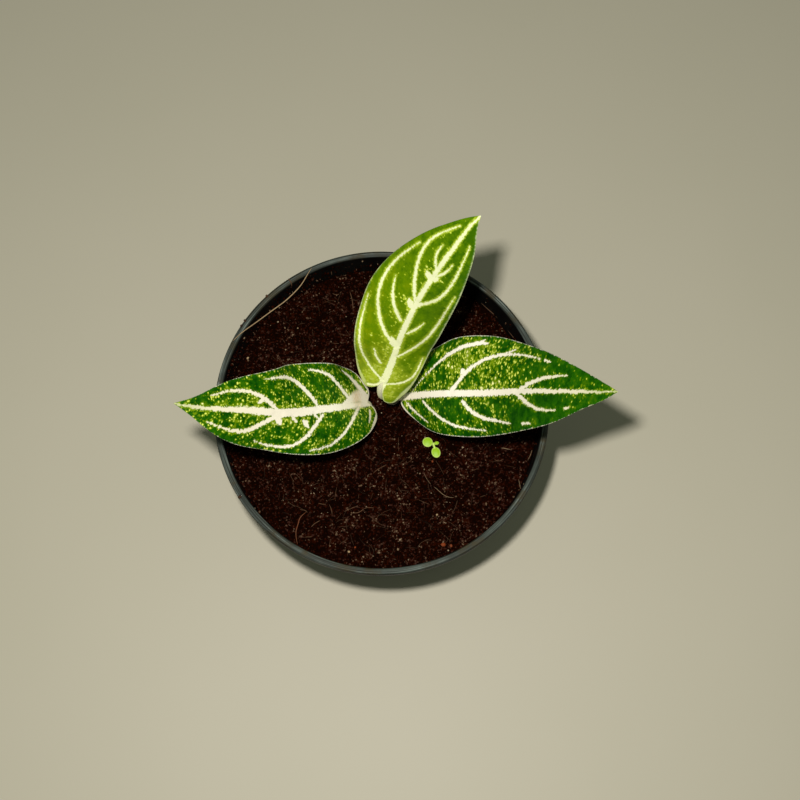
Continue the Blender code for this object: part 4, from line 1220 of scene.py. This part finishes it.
def pot_finish(settings):
    """Black polypropylene, injection moulded: dull black, the lip greyed where hands wear it and
    ringed with lighter lines that are partly wear and partly painted sheen, with painted glints."""
    finish, add = new_finish("black polypropylene")
    place = add("TexCoord")
    height = add("SeparateXYZ", place).node.outputs[2]
    lip = add("MapRange", height, (POT_HEIGHT - 1.0) * MM, (POT_HEIGHT - 0.25) * MM)
    flat = add("VectorMath MULTIPLY", place, (1.0, 1.0, 0.0))
    radius = add("Math MULTIPLY", add("VectorMath LENGTH", flat, out=1), per(0.45))
    heading = add("VectorMath NORMALIZE", flat)
    ringed = add("VectorMath MULTIPLY_ADD", heading, (2.5, 2.5, 2.5),
                 add("CombineXYZ", 0.0, 0.0, radius))
    rings = add("TexNoise", ringed, 1.0, 2.0)
    # Painted highlight: the brightest fine rings take a pale colour that stands for glints on the
    # lip.
    glint = add("MapRange", rings, 0.6, 0.7, 0.0, 0.8)
    rings = add("MapRange", rings, 0.36, 0.66)
    dust = add("TexNoise", place, per(9.0), 5.0, 0.65)
    wall = add("Mix", add("MapRange", dust, 0.35, 0.75), settings.wall, settings.dust)
    patch = add("TexNoise", place, per(17.0), 4.0, 0.6)
    # The lighter rings on the lip are partly wear and partly painted sheen; these patches vary
    # them.
    wear_and_glint_patches = add("MapRange", patch, 0.38, 0.56, 1.0, 0.35)
    top = add("Mix", add("Math MULTIPLY", rings, wear_and_glint_patches), settings.lip, settings.lip_wear_and_sheen)
    top = add("Mix", add("Math MULTIPLY", glint, wear_and_glint_patches), top, settings.lip_glint)
    soiled = add("Math MULTIPLY_ADD", patch, 0.6, dust)
    soiled = add("MapRange", soiled, 0.8, 0.95, 0.0, 0.8)
    top = add("Mix", soiled, top, settings.lip_soil)
    colour = add("Mix", lip, wall, top)
    rough = add("MapRange", dust, 0.2, 0.8, 0.38, 0.6)
    close_finish(add, colour, rough, 1.49, 0.2, add("TexNoise", place, per(0.5), 2.0), 0.3, 0.05)
    return finish


def soil_finish(settings):
    """Coir and peat: near-black crumbs with brown, tan and grey grains."""
    finish, add = new_finish("coir and peat")
    place = add("TexCoord")
    tone = add("Attribute", attribute_name="tone")
    grain = add("SeparateColor", add("TexVoronoi", place, per(0.55), out=1))
    damp = add("TexNoise", place, per(8.0), 3.0)
    mixed = add("Math MULTIPLY_ADD", tone, 0.52, -0.12)
    mixed = add("Math MULTIPLY_ADD", damp, 0.22, mixed)
    mixed = add("Math MULTIPLY_ADD", add("Math POWER", grain, 3.0), 0.55, mixed)
    colour = add("ValToRGB", mixed, stops=(
        (0.25, settings.dark), (0.52, settings.red), (0.72, settings.brown),
        (0.86, settings.tan), (0.98, settings.grey)))
    fine = add("TexNoise", place, per(0.6), 4.0, 0.7)
    close_finish(add, colour, 0.9, 1.4, 0.02, fine, 0.8, 0.3)
    return finish


def litter_finish(settings):
    """Coir fibre and bark: dry fibres and chips from dark brown to straw, each of one tone."""
    finish, add = new_finish("coir fibre and bark")
    tone = add("Attribute", attribute_name="tone")
    mottle = add("TexNoise", add("TexCoord"), per(0.8), 3.0)
    mixed = add("Math MULTIPLY_ADD", mottle, 0.2, tone)
    colour = add("ValToRGB", mixed, stops=(
        (0.15, settings.dark), (0.55, settings.fibre), (0.68, settings.bark),
        (0.8, settings.tan), (0.95, settings.straw), (1.0, settings.grey)))
    close_finish(add, colour, 0.8, 1.45, 0.2, mottle, 0.5, 0.1)
    return finish


def stem_finish(settings):
    """Green stem skin: smooth and pale, brown and dry on the rings that old leaves left."""
    finish, add = new_finish("green stem")
    scar = add("Attribute", attribute_name="scar")
    mottle = add("TexNoise", add("TexCoord"), per(1.6), 4.0)
    dry = add("MapRange", add("Math MULTIPLY_ADD", mottle, 0.8, scar), 0.55, 1.1)
    colour = add("Mix", dry, settings.stalk, settings.scar)
    close_finish(add, colour, 0.5, 1.42, 0.5, mottle, 0.3, 0.2)
    return finish


def seedling_finish(settings):
    """Seed leaf: soft bright tissue, paler at its rim and on its stalk."""
    finish, add = new_finish("seedling tissue")
    rim, stalk = (add("Attribute", attribute_name=key) for key in ("rim", "stalk"))
    mottle = add("TexNoise", add("TexCoord"), per(0.7), 3.0)
    edge = add("MapRange", add("Math MULTIPLY_ADD", mottle, 0.25, rim), 0.85, 1.05)
    edge = add("Math MAXIMUM", edge, stalk)
    colour = add("Mix", edge, settings.seedling, settings.seedling_rim)
    close_finish(add, colour, 0.5, 1.42, 0.5, mottle, 0.3, 0.1)
    return finish


def floor_finish(settings):
    """Sealed plaster floor: pale, even, with faint clouds."""
    finish, add = new_finish("sealed plaster")
    cloud = add("TexNoise", add("TexCoord"), per(120.0), 3.0)
    colour = add("Mix", cloud, settings.floor, settings.floor_tint)
    add("OutputMaterial", add("BsdfPrincipled", colour, 0.55, 1.4))
    return finish


# Settings

class PotSettings(bpy.types.PropertyGroup):
    """Sizes and colours of the pot."""
    steps: amount("Steps", "Faces round the pot", 256, 32, 512)
    lip_groove: distance("Lip groove", "Depth of the fine rings on the lip", 0.09, 0.0, 0.3)
    wall: tint("Wall", "Colour of the moulded wall", "030303")
    dust: tint("Dust", "Colour of the dust on the wall", "080806")
    lip: tint("Lip", "Colour of the lip", "20241F")
    # The worn lip colour is partly wear and partly painted sheen; the scratch colour below is
    # painted glints.
    lip_wear_and_sheen: tint("Worn lip", "Colour of the scratches on the lip", "56605A")
    lip_glint: tint("Scratches", "Colour of the deepest scratches", "8A938C")
    lip_soil: tint("Soiled lip", "Colour of the dirt on the lip", "38321F")


class SoilSettings(bpy.types.PropertyGroup):
    """Amounts and colours of the soil and of what lies on it."""
    rows: amount("Rows", "Points along each side of the soil's grid", 300, 40, 310)
    crumbs: amount("Crumbs", "Number of loose crumbs", 5200, 0, 8000)
    wall_crumbs: amount("Wall crumbs", "Number of crumbs on the inner wall", 900, 0, 2000)
    fibres: amount("Fibres", "Number of short fibres", 420, 0, 2000)
    dark: tint("Peat", "Colour of the dark crumbs", "0B0200")
    red: tint("Damp coir", "Colour of the reddish grains", "230700")
    brown: tint("Coir", "Colour of the brown grains", "34201A")
    tan: tint("Tan", "Colour of the lighter grains", "5E4D3A")
    fibre: tint("Fibres", "Colour of the darker fibres", "563E2B")
    bark: tint("Bark", "Colour of the orange bark", "76300C")
    straw: tint("Straw", "Colour of the palest fibres", "9A8362")
    grey: tint("Grit", "Colour of the pale grit", "8C7D66")


class PlantSettings(bpy.types.PropertyGroup):
    """Sizes and colours of the leaves, the stem and the seedling."""
    blade_rows: amount("Blade rows", "Ribs along each blade", 260, 40, 320)
    blade_columns: amount("Blade columns", "Columns across half a blade", 60, 10, 72)
    blade_thickness: distance("Thickness", "Thickness of a blade", 0.5, 0.2, 0.9)
    vein_width: distance("Vein width", "Greatest width of a common side vein", 1.4, 0.2, 3.0)
    margin_width: distance("Margin", "Width of the pale margin", 0.35, 0.1, 2.0)
    # The two base vein colours are partly painted light: kept whiter to lift the shaded leaf
    # bases.
    lit_vein_foot: tint("Vein foot", "Colour of veins at the base", "FFF6E0")
    lit_vein_base: tint("Near veins", "Their colour near the base", "FAF5E6")
    blush: tint("Blush", "Pinkish patch of the left leaf", "E2C08A")
    vein: tint("Veins", "Colour of midrib and veins", "D9D3C2")
    vein_far: tint("Far veins", "Their colour near the tip", "C7C2A8")
    vein_tip: tint("Vein tips", "Their colour at the tip", "9BA270")
    young_foot: tint("Young vein foot", "Their colour at the base", "F8FCC8")
    young_vein: tint("Young veins", "Veins of the young leaf", "DCE0B6")
    young_tip: tint("Young tips", "The same at the tip", "C8CFA2")
    under: tint("Underside", "Tint of the undersides", "667F42")
    stalk: tint("Petiole", "Colour of the petioles", "FAF6DC")
    stalk_streak: tint("Petiole streaks", "Colour of their streaks", "E8E5C2")
    dark_green: tint("Dark green", "Clear areas of the grown leaves", "053700")
    mid_green: tint("Mid green", "Common green of the grown leaves", "1B4F00")
    olive: tint("Olive", "Yellower green of the grown leaves", "446500")
    halo_green: tint("Halo", "Halo round the flecks", "677F05")
    fleck_green: tint("Small flecks", "Core of a small fleck", "C6CE5C")
    fleck_cream: tint("Large flecks", "Core of a large fleck", "E4E29E")
    lime_dark: tint("Lime shade", "Darker tissue of the young leaf", "2F5500")
    lime: tint("Lime", "Most of the young leaf", "527200")
    lime_light: tint("Lime light", "Lightest tissue of the young leaf", "6E8000")
    lime_halo: tint("Lime halo", "Round the veins of the young leaf", "A6B82C")
    lime_fleck: tint("Lime fleck", "Flecks of the young leaf", "C4CC78")
    scar: tint("Scars", "Colour of the leaf scars", "62472A")
    seedling: tint("Seedling", "Colour of the seed leaves", "86B004")
    seedling_rim: tint("Seedling rim", "Colour of their rims", "B8D268")


class StageSettings(bpy.types.PropertyGroup):
    """Floor, lamp and fill."""
    lamp_power: bpy.props.FloatProperty(
        name="Lamp", description="Power of the lamp, in watts", default=10.6, min=0.0)
    lamp_radius: distance("Lamp radius", "Radius of the lamp", 7.0, 0.0, 500.0)
    fill: bpy.props.FloatProperty(
        name="Fill", description="Strength of the soft light from all round", default=0.18)
    floor: tint("Floor", "Colour of the floor", "B5B19E")
    floor_tint: tint("Floor clouds", "Colour of its faint clouds", "BBB6A5")
    fill_colour: tint("Fill", "Colour of the soft light", "E6F2DA")


# Operators

class PLANT_OT_pot(bpy.types.Operator):
    """Makes the pot"""
    bl_idname = "plant.pot"
    bl_label = "Pot"

    def execute(self, context):
        settings = context.scene.pot_settings
        profile = pot_profile(settings.lip_groove / MM)
        points, faces = turned_surface(profile, settings.steps)
        piece = add_piece("nursery_pot", [surface(points, [f[:, ::-1] for f in faces])],
                          pot_finish(settings), "pot")
        cut_drains(piece)
        piece.data.set_sharp_from_angle(angle=math.radians(SHARP_ANGLE))
        return {"FINISHED"}


class PLANT_OT_soil(bpy.types.Operator):
    """Makes the soil"""
    bl_idname = "plant.soil"
    bl_label = "Soil"

    def execute(self, context):
        settings = context.scene.soil_settings
        add_piece("crumbled_soil", [soil_surface(settings.rows)], soil_finish(settings),
                  "soil")
        return {"FINISHED"}


class PLANT_OT_litter(bpy.types.Operator):
    """Makes the loose crumbs, chips and fibres"""
    bl_idname = "plant.litter"
    bl_label = "Crumbs and fibres"

    def execute(self, context):
        settings = context.scene.soil_settings
        dice = np.random.default_rng(LITTER_SEED)
        add_piece("loose_crumbs", [scattered_lumps(settings.crumbs, dice),
                                   wall_crumbs(settings.wall_crumbs, dice)],
                  soil_finish(settings))
        x, y, size, tone = np.transpose(CHIPS)
        chips = np.stack([x, y, soil_top(x, y)[0] + 0.25 * size], axis=-1)
        pieces = [lumps(chips, size, tone, dice)]
        turn, size, tone = np.transpose(LIP_CRUMBS)
        turn = np.radians(turn)
        middle = RIM_RADIUS - LIP_CRUMB_INSET
        on_lip = np.stack([middle * np.cos(turn), middle * np.sin(turn),
                           POT_HEIGHT - 0.3 + 0.3 * size], axis=-1)
        pieces += [lumps(on_lip, size, tone, dice), scattered_fibres(settings.fibres, dice)]
        pieces += [single_fibre(*fibre) for fibre in LYING_FIBRES + LEANING_FIBRES]
        add_piece("fibres_and_chips", pieces, litter_finish(settings))
        return {"FINISHED"}


class PLANT_OT_leaves(bpy.types.Operator):
    """Makes the three leaves"""
    bl_idname = "plant.leaves"
    bl_label = "Leaves"

    def execute(self, context):
        own = context.scene.plant_settings
        # Each finish takes soft and lift after its pale tones; lift paints light onto the shaded
        # leaf bases.
        dark = leaf_finish(
            "grown leaf cuticle", ((0.2, own.dark_green), (0.5, own.mid_green), (0.85, own.olive)),
            own.halo_green, (own.fleck_green, own.fleck_cream),
            ((0.0, own.lit_vein_foot), (0.3, own.lit_vein_base), (0.55, own.vein), (0.85, own.vein_far),
             (1.0, own.vein_tip)), 0.0, 0.6, own)
        lime = leaf_finish(
            "young leaf cuticle", ((0.0, own.lime_dark), (0.5, own.lime), (1.0, own.lime_light)),
            own.lime_halo, (own.lime_fleck, own.lime_fleck),
            ((0.0, own.young_foot), (0.4, own.young_vein), (1.0, own.young_tip)), 0.2, 0.1, own)
        for name, finish, slot in (("leaf_left", dark, "dark_leaf"),
                                   ("leaf_right", dark, "dark_leaf"),
                                   ("leaf_top", lime, "lime_leaf")):
            surfaces = [blade_surface(LEAVES[name], name, own), petiole_surface(LEAVES[name])]
            add_piece("grown_" + name, surfaces, finish, name)
        return {"FINISHED"}


class PLANT_OT_stem(bpy.types.Operator):
    """Makes the short stem"""
    bl_idname = "plant.stem"
    bl_label = "Stem"

    def execute(self, context):
        settings = context.scene.plant_settings
        add_piece("short_stem", [stem_surface()], stem_finish(settings), "stem")
        return {"FINISHED"}


class PLANT_OT_seedling(bpy.types.Operator):
    """Makes the seedling"""
    bl_idname = "plant.seedling"
    bl_label = "Seedling"

    def execute(self, context):
        settings = context.scene.plant_settings
        add_piece("small_seedling", seedling_surfaces(), seedling_finish(settings),
                  "seedling")
        return {"FINISHED"}


class PLANT_OT_stage(bpy.types.Operator):
    """Makes the floor, the lights and the camera"""
    bl_idname = "plant.stage"
    bl_label = "Stage"

    def execute(self, context):
        settings = context.scene.stage_settings
        scene = context.scene
        half = FLOOR_HALF * MM
        mesh = bpy.data.meshes.new("floor")
        mesh.from_pydata([(-half, -half, 0.0), (half, -half, 0.0), (half, half, 0.0),
                          (-half, half, 0.0)], [], [(0, 1, 2, 3)])
        mesh.materials.append(floor_finish(settings))
        floor = bpy.data.objects.new("floor", mesh)
        scene.collection.objects.link(floor)

        lamp = bpy.data.lights.new("lamp", "POINT")
        lamp.energy = settings.lamp_power
        lamp.shadow_soft_size = settings.lamp_radius
        lamp.color = LAMP_COLOUR
        holder = bpy.data.objects.new("lamp", lamp)
        holder.location = np.array(LAMP_PLACE) * MM
        holder.visible_camera = False
        scene.collection.objects.link(holder)

        world = bpy.data.worlds.new("soft fill")
        world.use_nodes = True
        world.node_tree.nodes.clear()
        sky = put(world.node_tree, "Background", settings.fill_colour, settings.fill)
        put(world.node_tree, "OutputWorld", sky)
        scene.world = world

        lean, turn = math.radians(CAMERA_LEAN), math.radians(CAMERA_TURN)
        ahead = np.array([0.0, math.sin(lean), -math.cos(lean)])
        level = np.array([1.0, 0.0, 0.0])
        upright = np.cross(level, ahead)
        right = level * math.cos(turn) + upright * math.sin(turn)
        up = upright * math.cos(turn) - level * math.sin(turn)
        placed = np.eye(4)
        placed[:3, :4] = np.stack([right, up, -ahead, np.array(CAMERA_PLACE) * MM], axis=1)
        lens = bpy.data.cameras.new("camera")
        lens.lens = CAMERA_LENS
        lens.sensor_width = 36.0
        lens.clip_start = 0.01
        camera = bpy.data.objects.new("camera", lens)
        camera.matrix_world = Matrix(placed.tolist())
        scene.collection.objects.link(camera)
        scene.camera = camera
        scene.view_settings.view_transform = "Standard"
        return {"FINISHED"}


class PLANT_PT_panel(bpy.types.Panel):
    """Lists the plant's pieces"""
    bl_label = "Potted aglaonema"
    bl_idname = "PLANT_PT_panel"
    bl_space_type = "VIEW_3D"
    bl_region_type = "UI"
    bl_category = "Aglaonema"

    def draw(self, context):
        for operator in OPERATORS:
            self.layout.operator(operator.bl_idname)


GROUPS = (
    ("pot_settings", PotSettings),
    ("soil_settings", SoilSettings),
    ("plant_settings", PlantSettings),
    ("stage_settings", StageSettings),
)
OPERATORS = (PLANT_OT_stage, PLANT_OT_pot, PLANT_OT_soil, PLANT_OT_litter, PLANT_OT_stem,
             PLANT_OT_leaves, PLANT_OT_seedling)


def register():
    """Registers the settings, the operators and the panel."""
    for name, group in GROUPS:
        bpy.utils.register_class(group)
        setattr(bpy.types.Scene, name, bpy.props.PointerProperty(type=group))
    for operator in OPERATORS:
        bpy.utils.register_class(operator)
    bpy.utils.register_class(PLANT_PT_panel)


def unregister():
    """Takes them all out again."""
    bpy.utils.unregister_class(PLANT_PT_panel)
    for operator in reversed(OPERATORS):
        bpy.utils.unregister_class(operator)
    for name, group in reversed(GROUPS):
        delattr(bpy.types.Scene, name)
        bpy.utils.unregister_class(group)


def main():
    """Makes every piece in order."""
    register()
    bpy.ops.plant.stage()
    bpy.ops.plant.pot()
    bpy.ops.plant.soil()
    bpy.ops.plant.litter()
    bpy.ops.plant.stem()
    bpy.ops.plant.leaves()
    bpy.ops.plant.seedling()


if __name__ == "__main__":
    main()
